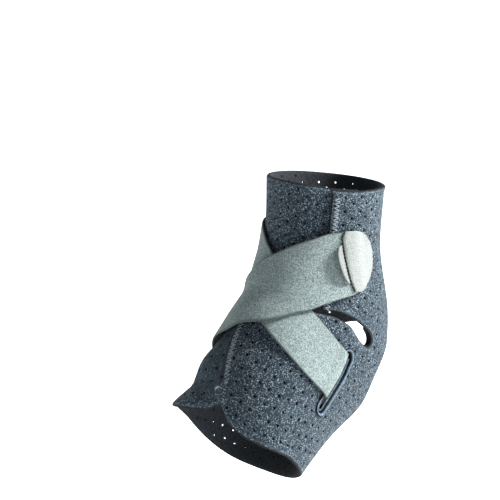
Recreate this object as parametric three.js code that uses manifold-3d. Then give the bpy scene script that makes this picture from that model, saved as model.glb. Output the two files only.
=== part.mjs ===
// Left ankle support: a one-piece soft wrap with an open heel, two slots, two crossed straps and their
// hook tabs. Millimetres. +Z runs up the shaft, -Y towards the toe rim, +X is the outer side.
import * as THREE from 'three';
import Module from 'manifold-3d';

const wasm = await Module();
wasm.setup();

// Driving dimensions
const SHAFT_LENGTH = 72; // ankle crease up to the first section row, just above the top rim
const FOOT_LENGTH = 110; // ankle crease forward to the last section row, just past the toe rim
const ANKLE_WIDTH = 86; // side to side at the crease
const HEEL_REACH = 145; // pivot in front of the crease to the back of the wrap, over the heel hole
const FOOT_BEND = 50; // degrees that the sections turn from the shaft to the toe rim
const PIVOT_FORWARD = 70; // pivot of the fanned sections in front of the shaft's middle
const PIVOT_UP = 26; // pivot above the ankle's middle
const FRONT_SHARE = 0.46; // part of a section's depth that lies in front of its widest place
const WALL = 3; // wrap sheet
const STRAP_SHEET = 1.5; // elastic strap
const TAB_SHEET = 1.3; // hook tab and its grip
const GAP = 0.4; // air between layers
const STRAP_LIE = 0.6; // air under a strap that lies on the wrap or on the other strap
const BRIDGE = 9.5; // how far a pulled strap stands off the deepest part of the crease
const FLARE = 7; // how far the loose inner front corner swings out
const SLOT_LENGTH = 50; // clear length of a strap slot
const SLOT_WIDTH = 8.4; // clear width of a strap slot
const RIM_WIDTH = 2; // pressed rim round a slot, across
const RIM_HEIGHT = 1; // pressed rim, up
const GRIP_HEIGHT = 7; // half-moon grip above its tab
const FULL_TURN = 360;

const table = (columns, rows) =>
  rows.map((row) => Object.fromEntries(columns.map((name, k) => [name, row[k]])));

// Sections of the outer face, top rim to toe rim. A section is a half superellipse in front and one behind.
// along: share of SHAFT_LENGTH above the crease, or minus the share of FOOT_LENGTH past it
// turn: share of FOOT_BEND; front, back: shares of HEEL_REACH from the pivot
// outer, inner: half widths as shares of ANKLE_WIDTH; round: exponent of the back half
// lift: share of the strap bridge over this section
const SECTIONS = table(
  ['along', 'turn', 'front', 'back', 'outer', 'inner', 'round', 'lift'],
  [
    [1.0, 0, 0.186, 0.788, 0.46, 0.517, 2.1, 0],
    [0.75, 0, 0.186, 0.786, 0.453, 0.5, 2.1, 0],
    [0.5, 0, 0.179, 0.786, 0.45, 0.483, 2.1, 0.08],
    [0.25, 0, 0.166, 0.793, 0.456, 0.477, 2.1, 0.38],
    [0.03, 0.06, 0.143, 0.828, 0.477, 0.488, 2.2, 0.82],
    [0, 0.33, 0.124, 0.917, 0.5, 0.5, 2.2, 0.68],
    [0, 0.67, 0.114, 1.0, 0.506, 0.5, 2.4, 0.52],
    [-0.02, 0.96, 0.118, 0.972, 0.5, 0.512, 2.6, 0.46],
    [-0.2, 1, 0.134, 0.917, 0.512, 0.535, 2.8, 0.26],
    [-0.4, 1, 0.172, 0.883, 0.523, 0.581, 2.8, 0.05],
    [-0.6, 1, 0.234, 0.862, 0.535, 0.628, 2.8, 0],
    [-0.8, 1, 0.303, 0.848, 0.558, 0.663, 2.8, 0],
    [-1.0, 1, 0.372, 0.841, 0.581, 0.674, 2.8, 0],
  ],
);

// Outlines of the flat pattern. row counts the sections from the top; turn is in degrees from the front,
// through the inner side and the back to the outer side (0, 90, 180, 270), past 360 where the outer flap
// laps on top, and below 0 where the inner flap lies under it.
const TOP_RIM = table(
  ['turn', 'row'],
  [[-90, 0.33], [-49, 0.26], [-20, 0.19], [8, 0.15], [31, 0.1], [90, 0.1], [150, 0.2], [205, 0.27],
    [250, 0.3], [281, 0.33], [311, 0.27], [340, 0.19], [380, 0.15]],
);
const TOE_RIM = table(
  ['turn', 'row'],
  [[-40, 10.4], [-20, 10.45], [0, 10.6], [13, 10.82], [30, 10.87], [48, 10.8], [60, 10.62], [90, 10.42],
    [135, 10.35], [180, 10.35], [225, 10.38], [242, 10.46], [262, 10.57], [285, 10.83], [308, 11.06],
    [325, 11.12], [341, 11.0], [353, 10.68], [362, 10.42], [375, 10.2]],
);
const OUTER_FLAP_EDGE = table(
  ['row', 'turn'],
  [[0, 311], [5.62, 311], [6.12, 370], [7.0, 378], [8.33, 375], [8.83, 371], [9.2, 368.5], [9.6, 365],
    [10.0, 362.5], [10.4, 362], [11, 362]],
);
const INNER_FLAP_EDGE = table(
  ['row', 'turn'],
  [[0, -84], [5.36, -84], [5.6, -70], [5.76, -45], [6.08, -22], [7.0, -20], [9.0, -22], [10.0, -18], [11, -14]],
);
// The cut across the instep, between the two bands: row of its upper and of its lower edge.
const ANKLE_CUT = table(
  ['turn', 'upper', 'lower'],
  [[0, 5.6, 6.4], [20, 5.6, 6.3], [49, 5.58, 5.86], [63, 5.36, 5.66], [75, 5.35, 5.68], [86, 5.42, 5.86],
    [95, 5.5, 5.96], [100, 5.58, 5.95], [102.5, 5.66, 5.88], [103.5, 5.75, 5.78]],
);
const HEEL_HOLE = { row: 6.15, rows: 1.0, turn: 180, turns: 55 };
const SLOT_LINE = table(
  ['row', 'turn'],
  [[6.2, 86], [6.6, 88], [7.1, 92.5], [7.65, 95.5], [8.2, 97], [8.75, 97.5], [9.2, 97.5]],
);
const SLOT_TOP = 6.5;
const SLOT_FOOT = 8.78;

// Soft forms of the wrap: lift is a share of the flare, reach in rows and degrees.
const SWELLS = table(
  ['row', 'turn', 'rows', 'turns', 'lift'],
  [
    [10.95, 56, 1.15, 44, 1.0],
    [9.25, 40, 0.75, 30, 0.3],
    [9.95, 30, 0.32, 27, -0.28],
    [10.35, 365, 0.7, 15, 0.62],
  ],
);

// Strap stations from the sewn end inside the wrap, out through the slot, over the instep and round the
// shaft: row and turn of the upper edge and of the lower edge, layer above the wrap (1 = on top of the
// other strap) and steps to the next station. Turn is signed here: minus on the slot's side.
const STRAP_COLUMNS = ['upRow', 'upTurn', 'lowRow', 'lowTurn', 'layer', 'steps'];
const UNDER_STRAP = table(STRAP_COLUMNS, [
  [6.75, -112, 8.35, -118, 0, 3],
  [6.7, -96, 8.35, -103, 0, 12],
  [6.65, -78, 8.33, -86, 0, 4],
  [6.47, -60, 8.38, -65, 0, 4],
  [6.03, -44, 8.3, -46, 0, 4],
  [5.07, -32, 8.13, -28, 0, 4],
  [3.7, -18, 7.8, -8, 0, 4],
  [3.13, -1, 7.3, 17, 0, 4],
  [2.65, 17, 6.6, 37, 0, 4],
  [2.25, 33, 5.45, 50, 0, 4],
  [1.97, 50, 4.75, 64, 0, 4],
  [1.88, 70, 4.45, 83, 0, 4],
  [1.86, 96, 4.3, 109, 0, 1],
]);
const OVER_STRAP = table(STRAP_COLUMNS, [
  [6.75, -112, 8.35, -118, 0, 3],
  [6.7, -96, 8.37, -103, 0, 12],
  [6.65, -78, 8.4, -86, 0, 4],
  [6.5, -63, 8.52, -66, 0.2, 4],
  [6.1, -50, 8.5, -45, 0.9, 4],
  [5.2, -40, 8.42, -20, 1.2, 4],
  [4.05, -28, 8.15, -5, 1.5, 4],
  [3.35, -14, 7.9, 14, 1.5, 4],
  [2.9, 3, 7.35, 30, 1.5, 4],
  [2.55, 17, 6.6, 39, 1.35, 4],
  [2.27, 32, 5.45, 49, 0.9, 4],
  [1.97, 50, 4.75, 64, 0.2, 4],
  [1.88, 70, 4.3, 83, 0, 1],
]);
// Hook tab: its straight slit edge and its round edge, turns on the side where the strap ends. The tab of
// the strap that lies under sits further back by TAB_SHIFT degrees.
const TAB_SHIFT = 26;
const TAB = table(
  ['row', 'slit', 'round'],
  [[1.86, 72, 77], [1.95, 68, 86], [2.15, 65, 93.5], [2.45, 65.8, 99.5], [2.95, 68.6, 103.5], [3.4, 71, 102.5],
    [3.75, 73, 98], [4.05, 75, 90], [4.22, 77.5, 83]],
);
const GRIP = { top: 2.3, foot: 4.0, lean: 0.75 };

const DEGREE = Math.PI / 180;
const clamp01 = (x) => Math.min(1, Math.max(0, x));
const smooth = (x) => clamp01(x) ** 2 * (3 - 2 * clamp01(x));
const mix = (a, b, t) => a + (b - a) * t;

// Smooth value of a table's column at x of its key column (cubic through the rows, flat-ended slopes kept).
function along(rows, key, column, x) {
  const last = rows.length - 1;
  let k = rows.findIndex((row) => row[key] > x) - 1;
  if (k === -2) k = last - 1;
  k = Math.max(0, k);
  const step = (i) => {
    const a = rows[Math.max(0, Math.min(last - 1, i))];
    const b = rows[Math.max(0, Math.min(last - 1, i)) + 1];
    return (b[column] - a[column]) / (b[key] - a[key]);
  };
  const width = rows[k + 1][key] - rows[k][key];
  const t = (x - rows[k][key]) / width;
  if (t < 0) return rows[k][column] + step(k) * t * width;
  if (t > 1) return rows[k + 1][column] + step(k) * (t - 1) * width;
  const bend = (p, q) => (p * q > 0 ? (2 * p * q) / (p + q) : 0);
  const m0 = k === 0 ? step(0) : bend(step(k - 1), step(k));
  const m1 = k === last - 1 ? step(k) : bend(step(k), step(k + 1));
  return (
    rows[k][column] * (1 - t) ** 2 * (1 + 2 * t) +
    rows[k + 1][column] * t * t * (3 - 2 * t) +
    width * (m0 * t * (1 - t) ** 2 - m1 * t * t * (1 - t))
  );
}

// A column of the section table at a fractional row, through its neighbours.
function sectionValue(column, row) {
  const last = SECTIONS.length - 1;
  const k = Math.max(0, Math.min(last - 1, Math.floor(row)));
  const t = row - k;
  const p1 = SECTIONS[k][column];
  const p2 = SECTIONS[k + 1][column];
  const p0 = k > 0 ? SECTIONS[k - 1][column] : 2 * p1 - p2;
  const p3 = k < last - 1 ? SECTIONS[k + 2][column] : 2 * p2 - p1;
  return (
    p1 + 0.5 * t * (p2 - p0 + t * (2 * p0 - 5 * p1 + 4 * p2 - p3 + t * (3 * (p1 - p2) + p3 - p0)))
  );
}

// Point of the outer face at a section row and a turn; pull is the share of the strap bridge that is added.
function facePoint(row, turn, pull = 0) {
  const lengthwise = sectionValue('along', row);
  const travel = lengthwise * (lengthwise > 0 ? SHAFT_LENGTH : FOOT_LENGTH);
  const tilt = sectionValue('turn', row) * FOOT_BEND * DEGREE;
  const front = sectionValue('front', row) * HEEL_REACH;
  const back = sectionValue('back', row) * HEEL_REACH;
  const sine = -Math.sin(turn * DEGREE);
  const cosine = Math.cos(turn * DEGREE);
  const exponent = cosine > 0 ? 2 : sectionValue('round', row);
  const radius = (Math.abs(cosine) ** exponent + Math.abs(sine) ** exponent) ** (-1 / exponent);
  const half = sectionValue(sine > 0 ? 'outer' : 'inner', row) * ANKLE_WIDTH;
  const middle = mix(front, back, FRONT_SHARE);
  const span = cosine > 0 ? middle - front + pull * BRIDGE * sectionValue('lift', row) : back - middle;
  const depth = middle - span * cosine * radius;
  return new THREE.Vector3(
    half * sine * radius,
    -PIVOT_FORWARD + Math.cos(tilt) * depth + travel * Math.sin(tilt),
    PIVOT_UP - Math.sin(tilt) * depth + travel * Math.cos(tilt),
  );
}

function faceNormal(row, turn, pull = 0) {
  const e = 0.01;
  const down = facePoint(row + e, turn, pull).sub(facePoint(row - e, turn, pull));
  const round = facePoint(row, turn + e * 50, pull).sub(facePoint(row, turn - e * 50, pull));
  return round.cross(down).normalize();
}

const onFace = (row, turn, height, pull = 0) =>
  facePoint(row, turn, pull).addScaledVector(faceNormal(row, turn, pull), height);

const mmPerDegree = (row, turn) => facePoint(row, turn + 1).distanceTo(facePoint(row, turn - 1)) / 2;

// Height of the wrap's outer face over the section surface: the lap of the flaps and the soft forms.
function wrapHeight(row, turn) {
  const seam = along(OUTER_FLAP_EDGE, 'row', 'turn', row) - FULL_TURN;
  let height = -(WALL + GAP) * (1 - smooth((turn - seam - 4) / 26));
  for (const swell of SWELLS) {
    const a = (row - swell.row) / swell.rows;
    const b = (turn - swell.turn) / swell.turns;
    height += FLARE * swell.lift * Math.max(0, 1 - a * a - b * b) ** 2;
  }
  return height;
}

// Closed body between two faces over a lattice of (n + 1) x (m + 1) points.
function sheet(n, m, topPoint, bottomPoint) {
  const points = [];
  for (const point of [topPoint, bottomPoint])
    for (let i = 0; i <= n; i++) for (let j = 0; j <= m; j++) points.push(point(i, j));
  const id = (side, i, j) => side * (n + 1) * (m + 1) + i * (m + 1) + j;
  const faces = [];
  const quad = (a, b, c, d) => {
    const longWay = points[a].distanceToSquared(points[c]) > points[b].distanceToSquared(points[d]);
    if (longWay) faces.push([a, b, d], [b, c, d]);
    else faces.push([a, b, c], [a, c, d]);
  };
  for (let i = 0; i < n; i++)
    for (let j = 0; j < m; j++) {
      quad(id(0, i, j), id(0, i + 1, j), id(0, i + 1, j + 1), id(0, i, j + 1));
      quad(id(1, i, j), id(1, i, j + 1), id(1, i + 1, j + 1), id(1, i + 1, j));
    }
  for (let i = 0; i < n; i++) {
    quad(id(0, i, 0), id(1, i, 0), id(1, i + 1, 0), id(0, i + 1, 0));
    quad(id(0, i, m), id(0, i + 1, m), id(1, i + 1, m), id(1, i, m));
  }
  for (let j = 0; j < m; j++) {
    quad(id(0, 0, j), id(0, 0, j + 1), id(1, 0, j + 1), id(1, 0, j));
    quad(id(0, n, j), id(1, n, j), id(1, n, j + 1), id(0, n, j + 1));
  }
  return closedGeometry(points, faces);
}

// Closed ring round a loop of n cross-sections with four corners each.
function ring(n, corner) {
  const points = [];
  for (let i = 0; i < n; i++) for (let j = 0; j < 4; j++) points.push(corner(i, j));
  const faces = [];
  for (let i = 0; i < n; i++)
    for (let j = 0; j < 4; j++) {
      const a = i * 4 + j;
      const b = ((i + 1) % n) * 4 + j;
      const c = ((i + 1) % n) * 4 + ((j + 1) % 4);
      const d = i * 4 + ((j + 1) % 4);
      faces.push([a, b, c], [a, c, d]);
    }
  return closedGeometry(points, faces);
}

function closedGeometry(points, faces) {
  let volume = 0;
  const normal = new THREE.Vector3();
  for (const [a, b, c] of faces) volume += points[a].dot(normal.crossVectors(points[b], points[c]));
  const index = volume < 0 ? faces.map(([a, b, c]) => [a, c, b]) : faces;
  const geometry = new THREE.BufferGeometry().setFromPoints(points);
  geometry.setIndex(index.flat());
  return geometry;
}

const toSolid = (geometry) =>
  new wasm.Manifold(
    new wasm.Mesh({
      numProp: 3,
      vertProperties: new Float32Array(geometry.getAttribute('position').array),
      triVerts: new Uint32Array(geometry.index.array),
    }),
  );

function toGeometry(solid) {
  const mesh = solid.getMesh();
  const geometry = new THREE.BufferGeometry();
  geometry.setAttribute('position', new THREE.BufferAttribute(mesh.vertProperties, 3));
  geometry.setIndex([...mesh.triVerts]);
  return geometry;
}

// Point at a and b millimetres along and across a slot; side is 1 on the inner side, -1 on the outer side.
function slotPlace(side, a, b) {
  const row = mix(SLOT_TOP, SLOT_FOOT, a / SLOT_LENGTH + 0.5);
  const turn = side * along(SLOT_LINE, 'row', 'turn', row);
  return [row, turn + (side * b) / mmPerDegree(row, turn)];
}

// Wrap: a sheet over the flat pattern, with the instep cut, the heel hole and the slots taken out.
// Its lattice columns stand still between the two flaps and spread over each flap up to its edge.
const WRAP_SHARES = [0, 0.1, 0.2, 0.29, 0.36, 0.41, 0.45, 0.485, 0.52, 0.555, 0.59, 0.63, 0.68, 0.74, 0.8,
  0.86, 0.91, 0.95, 1];
const WRAP_ROWS = WRAP_SHARES.length - 1;
const INNER_FLAP = { root: 14, columns: 9 };
const OUTER_FLAP = { root: 296, columns: 10 };
const BODY_COLUMNS = 34;
const WRAP_TURNS = INNER_FLAP.columns + BODY_COLUMNS + OUTER_FLAP.columns;
const rowAtShare = (share, turn) =>
  mix(along(TOP_RIM, 'turn', 'row', turn), along(TOE_RIM, 'turn', 'row', turn), share);
function edgeTurn(flapEdge, share) {
  let row = mix(0.2, 10.5, share);
  for (let k = 0; k < 4; k++) row = rowAtShare(share, along(flapEdge, 'row', 'turn', row));
  return along(flapEdge, 'row', 'turn', row);
}
function wrapPlace(i, j) {
  const share = WRAP_SHARES[i];
  const body = j - INNER_FLAP.columns;
  const outer = body - BODY_COLUMNS;
  let turn = mix(INNER_FLAP.root, OUTER_FLAP.root, body / BODY_COLUMNS);
  if (body < 0) turn = mix(edgeTurn(INNER_FLAP_EDGE, share), INNER_FLAP.root, j / INNER_FLAP.columns);
  if (outer > 0) turn = mix(OUTER_FLAP.root, edgeTurn(OUTER_FLAP_EDGE, share), outer / OUTER_FLAP.columns);
  return [rowAtShare(share, turn), turn];
}
function wrapGeometry() {
  const face = (inset) => (i, j) => {
    const [row, turn] = wrapPlace(i, j);
    return onFace(row, turn, wrapHeight(row, turn) - inset);
  };
  const above = 6 + FLARE;
  const below = -4 * WALL;
  const cutter = (n, m, place) => {
    const level = (height) => (i, j) => {
      const [row, turn] = place(i / n, (2 * j) / m - 1);
      return onFace(row, turn, height);
    };
    return toSolid(sheet(n, m, level(above), level(below)));
  };
  const cutEnd = ANKLE_CUT[ANKLE_CUT.length - 1].turn;
  const instep = cutter(44, 4, (share, across) => {
    const turn = mix(-cutEnd, cutEnd, share);
    const upper = along(ANKLE_CUT, 'turn', 'upper', Math.abs(turn));
    const lower = along(ANKLE_CUT, 'turn', 'lower', Math.abs(turn));
    return [mix(upper, lower, (across + 1) / 2), turn];
  });
  const heel = cutter(14, 12, (share, across) => {
    const height = -Math.cos(share * Math.PI) * 0.9995;
    return [
      HEEL_HOLE.row + height * HEEL_HOLE.rows,
      HEEL_HOLE.turn + across * HEEL_HOLE.turns * Math.sqrt(1 - height * height),
    ];
  });
  const slots = [1, -1].map((side) =>
    cutter(18, 2, (share, across) => {
      const half = SLOT_WIDTH / 2;
      const a = (-Math.cos(share * Math.PI) * 0.9995 * SLOT_LENGTH) / 2;
      const over = Math.max(0, Math.abs(a) - (SLOT_LENGTH / 2 - half)) / half;
      return slotPlace(side, a, across * half * Math.sqrt(1 - over * over));
    }),
  );
  let solid = toSolid(sheet(WRAP_ROWS, WRAP_TURNS, face(0), face(WALL)));
  for (const tool of [instep, heel, ...slots]) solid = solid.subtract(tool);
  return toGeometry(solid);
}

// Pressed rim round a slot: a flat ring just off the outer face.
const RIM_STEPS = 36;
const rimGeometry = (side) =>
  ring(RIM_STEPS, (i, j) => {
    const angle = (i / RIM_STEPS) * 2 * Math.PI;
    const out = j === 0 || j === 3 ? 0.3 : 0.3 + RIM_WIDTH;
    const straight = (SLOT_LENGTH - SLOT_WIDTH) / 2;
    const radius = SLOT_WIDTH / 2 + out;
    const lean = Math.cos(angle);
    const a = Math.sign(lean) * straight * Math.min(1, Math.abs(lean) * 1.6) + radius * lean * Math.abs(lean) ** 0.6;
    const b = radius * Math.sign(Math.sin(angle)) * Math.abs(Math.sin(angle)) ** 0.7;
    const [row, turn] = slotPlace(side, a, b);
    return onFace(row, turn, GAP + (j < 2 ? 0 : RIM_HEIGHT));
  });

// Strap: a band through its stations. slotSide is the side of its slot, 1 inner or -1 outer.
const STRAP_ACROSS = 7;
function strapPlaces(stations) {
  const keyed = stations.map((station, k) => ({ ...station, k }));
  const places = [];
  for (const station of keyed.slice(0, -1))
    for (let i = 0; i < station.steps; i++) places.push(station.k + i / station.steps);
  places.push(stations.length - 1);
  return { keyed, places };
}
// Height of a strap's underside: inside the wrap before the slot, on the wrap or the other strap after it.
function strapHeight(row, turn, slotSide, layer) {
  const slotTurn = along(SLOT_LINE, 'row', 'turn', row);
  const past = (turn + slotTurn) * mmPerDegree(row, turn * -slotSide);
  const inside = -(WALL + STRAP_LIE + STRAP_SHEET);
  const nearSlot = 1 - smooth((past - SLOT_WIDTH / 2 - RIM_WIDTH - 1) / 8);
  const outside = STRAP_LIE + layer * (STRAP_SHEET + STRAP_LIE) + nearSlot * (RIM_HEIGHT + STRAP_LIE + 0.1);
  const out = clamp01((past + SLOT_WIDTH / 2) / SLOT_WIDTH);
  return mix(inside, outside, out);
}
function strapGeometry(stations, slotSide) {
  const { keyed, places } = strapPlaces(stations);
  const at = (i, j, extra) => {
    const value = (column) => along(keyed, 'k', column, places[i]);
    const across = j / STRAP_ACROSS;
    const row = mix(value('upRow'), value('lowRow'), across);
    const turn = mix(value('upTurn'), value('lowTurn'), across);
    const height = strapHeight(row, turn, slotSide, value('layer'));
    return onFace(row, turn * -slotSide, height + extra, 1);
  };
  return sheet(
    places.length - 1,
    STRAP_ACROSS,
    (i, j) => at(i, j, STRAP_SHEET),
    (i, j) => at(i, j, 0),
  );
}

// Hook tab: lies on the strap's end and, past it, on the wrap. endSide is the side where the strap ends.
const tabHeight = (row, turn) => {
  const end = OVER_STRAP[OVER_STRAP.length - 1];
  const strapEnd = mix(end.upTurn, end.lowTurn, (row - end.upRow) / (end.lowRow - end.upRow));
  return GAP + (STRAP_SHEET + STRAP_LIE) * (1 - smooth((turn - strapEnd - 1.5) / 9));
};
function tabGeometry(endSide, shift) {
  const n = 12;
  const m = 6;
  const at = (i, j, extra) => {
    const row = mix(TAB[0].row, TAB[TAB.length - 1].row, i / n);
    const turn = mix(along(TAB, 'row', 'slit', row), along(TAB, 'row', 'round', row), j / m);
    return onFace(row, endSide * (turn + shift), tabHeight(row, turn) + extra, 1);
  };
  return sheet(n, m, (i, j) => at(i, j, TAB_SHEET), (i, j) => at(i, j, 0));
}
// Half-moon grip: stands up in front of the slit edge and leans towards the front.
function gripGeometry(endSide, shift) {
  const n = 12;
  const m = 2;
  const at = (i, j, extra) => {
    const share = -Math.cos((i / n) * Math.PI) * 0.985;
    const row = mix(GRIP.top, GRIP.foot, (share + 1) / 2);
    const rise = (j / m) * Math.sqrt(1 - share * share) * GRIP_HEIGHT;
    const slit = along(TAB, 'row', 'slit', row) - 1;
    const scale = mmPerDegree(row, endSide * (slit + shift));
    const turn = slit - (rise * GRIP.lean + extra) / scale;
    return onFace(row, endSide * (turn + shift), tabHeight(row, slit) + GAP * 0.5 + rise * 0.8 + extra * 0.3, 1);
  };
  return sheet(n, m, (i, j) => at(i, j, TAB_SHEET), (i, j) => at(i, j, 0));
}

const cloth = (color, roughness) => new THREE.MeshStandardMaterial({ color, roughness, metalness: 0 });
const WRAP_GREY = 0x5d6872;
const RIM_GREY = 0x474f57;
const STRAP_GREY = 0xb4bfb7;
const TAB_WHITE = 0xdfe7e1;

const group = new THREE.Group();
group.name = 'ankle_support';
function add(name, geometry, material) {
  geometry.computeVertexNormals();
  const mesh = new THREE.Mesh(geometry, material);
  mesh.name = name;
  group.add(mesh);
}
const INNER = 1;
const OUTER = -1;
add('wrap_body', wrapGeometry(), cloth(WRAP_GREY, 0.92));
add('slot_rim_outer', rimGeometry(OUTER), cloth(RIM_GREY, 0.7));
add('slot_rim_inner', rimGeometry(INNER), cloth(RIM_GREY, 0.7));
add('strap_under', strapGeometry(UNDER_STRAP, OUTER), cloth(STRAP_GREY, 0.88));
add('strap_over', strapGeometry(OVER_STRAP, INNER), cloth(STRAP_GREY, 0.88));
add('tab_under', tabGeometry(INNER, TAB_SHIFT), cloth(TAB_WHITE, 0.8));
add('tab_over', tabGeometry(OUTER, 0), cloth(TAB_WHITE, 0.8));
add('grip_under', gripGeometry(INNER, TAB_SHIFT), cloth(TAB_WHITE, 0.8));
add('grip_over', gripGeometry(OUTER, 0), cloth(TAB_WHITE, 0.8));

export default group;
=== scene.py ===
"""Left ankle support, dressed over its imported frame: a perforated wrap, two slots with pressed lips, two
crossed elastic straps, their hook tabs with half-moon grips, and the zigzag stitching.
Lengths are metres, +Z runs up the shaft, -Y towards the toe rim and +X is the outer side."""

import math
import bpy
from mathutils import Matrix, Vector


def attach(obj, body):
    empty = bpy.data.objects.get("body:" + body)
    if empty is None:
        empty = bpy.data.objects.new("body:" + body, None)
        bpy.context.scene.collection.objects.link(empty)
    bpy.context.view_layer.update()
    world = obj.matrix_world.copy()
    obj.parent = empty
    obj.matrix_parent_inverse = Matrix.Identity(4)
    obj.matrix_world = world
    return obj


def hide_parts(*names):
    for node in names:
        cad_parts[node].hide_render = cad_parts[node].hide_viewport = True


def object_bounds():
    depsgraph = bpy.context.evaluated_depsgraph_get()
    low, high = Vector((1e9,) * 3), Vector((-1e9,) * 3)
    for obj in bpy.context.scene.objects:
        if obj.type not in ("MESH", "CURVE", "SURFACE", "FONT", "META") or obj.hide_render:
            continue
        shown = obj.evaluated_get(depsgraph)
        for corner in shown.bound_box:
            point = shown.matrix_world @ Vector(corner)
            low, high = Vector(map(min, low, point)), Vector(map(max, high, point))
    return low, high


bl_info = {
    "name": "Ankle Support",
    "version": (1, 0, 0),
    "blender": (4, 5, 0),
    "location": "3D View > Sidebar > Ankle Support",
    "description": "Builds a perforated ankle wrap with crossed straps and hook tabs",
    "category": "Add Mesh",
}

import bpy
import numpy as np
from bpy.props import FloatProperty, FloatVectorProperty, IntProperty, PointerProperty
from mathutils import Matrix, Vector
from mathutils.geometry import delaunay_2d_cdt
from mathutils.kdtree import KDTree

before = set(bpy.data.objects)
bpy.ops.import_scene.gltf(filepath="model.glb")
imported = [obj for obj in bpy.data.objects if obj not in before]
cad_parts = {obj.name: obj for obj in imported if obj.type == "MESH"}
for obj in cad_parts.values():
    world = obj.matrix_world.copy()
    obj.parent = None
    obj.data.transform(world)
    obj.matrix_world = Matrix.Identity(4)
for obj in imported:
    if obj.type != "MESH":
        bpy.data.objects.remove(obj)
CAD_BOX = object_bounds()

# Driving dimensions
SHAFT_LENGTH = 0.072  # ankle crease up to the first section row
FOOT_LENGTH = 0.110  # ankle crease forward to the last section row
ANKLE_WIDTH = 0.086
HEEL_REACH = 0.145  # pivot in front of the crease to the back of the wrap, over the heel hole
FOOT_BEND = math.radians(50)
PIVOT_FORWARD = 0.070
PIVOT_UP = 0.026
FRONT_SHARE = 0.46
GAP = 0.0004
STRAP_LIE = 0.0006  # air under a strap
BRIDGE = 0.0095  # how far a pulled strap stands off the deepest part of the crease
FLARE = 0.007  # how far the loose inner front corner swings out
SLOT_LENGTH = 0.050
SLOT_WIDTH = 0.0084
LIP_WIDTH = 0.002
LIP_HEIGHT = 0.001
LIP_CLEAR = 0.0002  # between a slot's wall and its lip
RIDGE_REACH = 0.0021  # welded ridge in a slot, from the slot's middle line
RIDGE_RADIUS = 0.00045
PATCH_ALONG = (-0.027, 0.033)  # anchor patch from the slot's middle, along and across it
PATCH_ACROSS = (-0.017, 0.019)
PATCH_SHEET = 0.0009
GRIP_HEIGHT = 0.007
TAB_ROUNDING = 0.0005  # rounding of a tab's rim and of a grip's
GRIP_ROUNDING = 0.0008
STRAP_BREADTH = 0.036  # square width of a strap near its root
STRAP_EDGE_SHADE = 0.0012  # breadth of the painted shade along a strap's edges
RIPPLE = 0.0002  # slow unevenness of the cloth
LOOSE_RIPPLE = 0.0005  # what the loose front adds to it
FULL_TURN = 360


def table(columns, rows):
    """Named columns of a short table."""
    return {name: np.array([row[k] for row in rows], float) for k, name in enumerate(columns)}


# Sections of the outer face, top rim to toe rim: lengths are shares of the driving dimensions.
SECTIONS = table(
    ("along", "turn", "front", "back", "outer", "inner", "round", "lift"),
    [
        (1.0, 0, 0.186, 0.788, 0.46, 0.517, 2.1, 0),
        (0.75, 0, 0.186, 0.786, 0.453, 0.5, 2.1, 0),
        (0.5, 0, 0.179, 0.786, 0.45, 0.483, 2.1, 0.08),
        (0.25, 0, 0.166, 0.793, 0.456, 0.477, 2.1, 0.38),
        (0.03, 0.06, 0.143, 0.828, 0.477, 0.488, 2.2, 0.82),
        (0, 0.33, 0.124, 0.917, 0.5, 0.5, 2.2, 0.68),
        (0, 0.67, 0.114, 1.0, 0.506, 0.5, 2.4, 0.52),
        (-0.02, 0.96, 0.118, 0.972, 0.5, 0.512, 2.6, 0.46),
        (-0.2, 1, 0.134, 0.917, 0.512, 0.535, 2.8, 0.26),
        (-0.4, 1, 0.172, 0.883, 0.523, 0.581, 2.8, 0.05),
        (-0.6, 1, 0.234, 0.862, 0.535, 0.628, 2.8, 0),
        (-0.8, 1, 0.303, 0.848, 0.558, 0.663, 2.8, 0),
        (-1.0, 1, 0.372, 0.841, 0.581, 0.674, 2.8, 0),
    ],
)
# Outlines of the flat pattern: turn is in degrees from the front, through the inner side and the back to
# the outer side, past 360 where the outer flap laps on top and below 0 where the inner flap lies under it.
TOP_RIM = table(
    ("turn", "row"),
    [(-90, 0.33), (-49, 0.24), (-20, 0.13), (8, 0.08), (31, 0.09), (90, 0.1), (150, 0.2), (205, 0.27),
     (250, 0.3), (281, 0.33), (311, 0.27), (340, 0.19), (380, 0.15)],
)
TOE_RIM = table(
    ("turn", "row"),
    [(-40, 10.4), (-20, 10.45), (0, 10.6), (13, 10.82), (30, 10.87), (48, 10.8), (60, 10.62), (90, 10.42),
     (135, 10.35), (180, 10.35), (225, 10.38), (242, 10.46), (262, 10.57), (285, 10.83), (308, 11.06),
     (325, 11.12), (341, 11.0), (353, 10.68), (362, 10.42), (375, 10.2)],
)
OUTER_FLAP_EDGE = table(
    ("row", "turn"),
    [(0, 311), (5.62, 311), (6.12, 370), (7.0, 378), (8.33, 375), (8.83, 371), (9.2, 368.5), (9.6, 365),
     (10.0, 362), (10.2, 363.5), (10.4, 362), (11, 362)],
)
INNER_FLAP_EDGE = table(
    ("row", "turn"),
    [(0, -84), (5.36, -84), (5.6, -70), (5.76, -45), (6.08, -22), (7.0, -20), (9.0, -22), (10.0, -18),
     (11, -14)],
)
ANKLE_CUT = table(
    ("turn", "upper", "lower"),
    [(0, 5.6, 6.4), (20, 5.6, 6.3), (49, 5.58, 5.86), (63, 5.36, 5.66), (75, 5.35, 5.68), (86, 5.42, 5.86),
     (95, 5.5, 5.96), (100, 5.58, 5.95), (102.5, 5.66, 5.88), (103.5, 5.75, 5.78)],
)
HEEL_HOLE = {"row": 6.15, "rows": 1.0, "turn": 180, "turns": 55}
SLOT_LINE = table(
    ("row", "turn"),
    [(6.2, 86), (6.6, 88), (7.1, 92.5), (7.65, 95.5), (8.2, 97), (8.75, 97.5), (9.2, 97.5)],
)
SLOT_TOP = 6.5
SLOT_FOOT = 8.78
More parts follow.
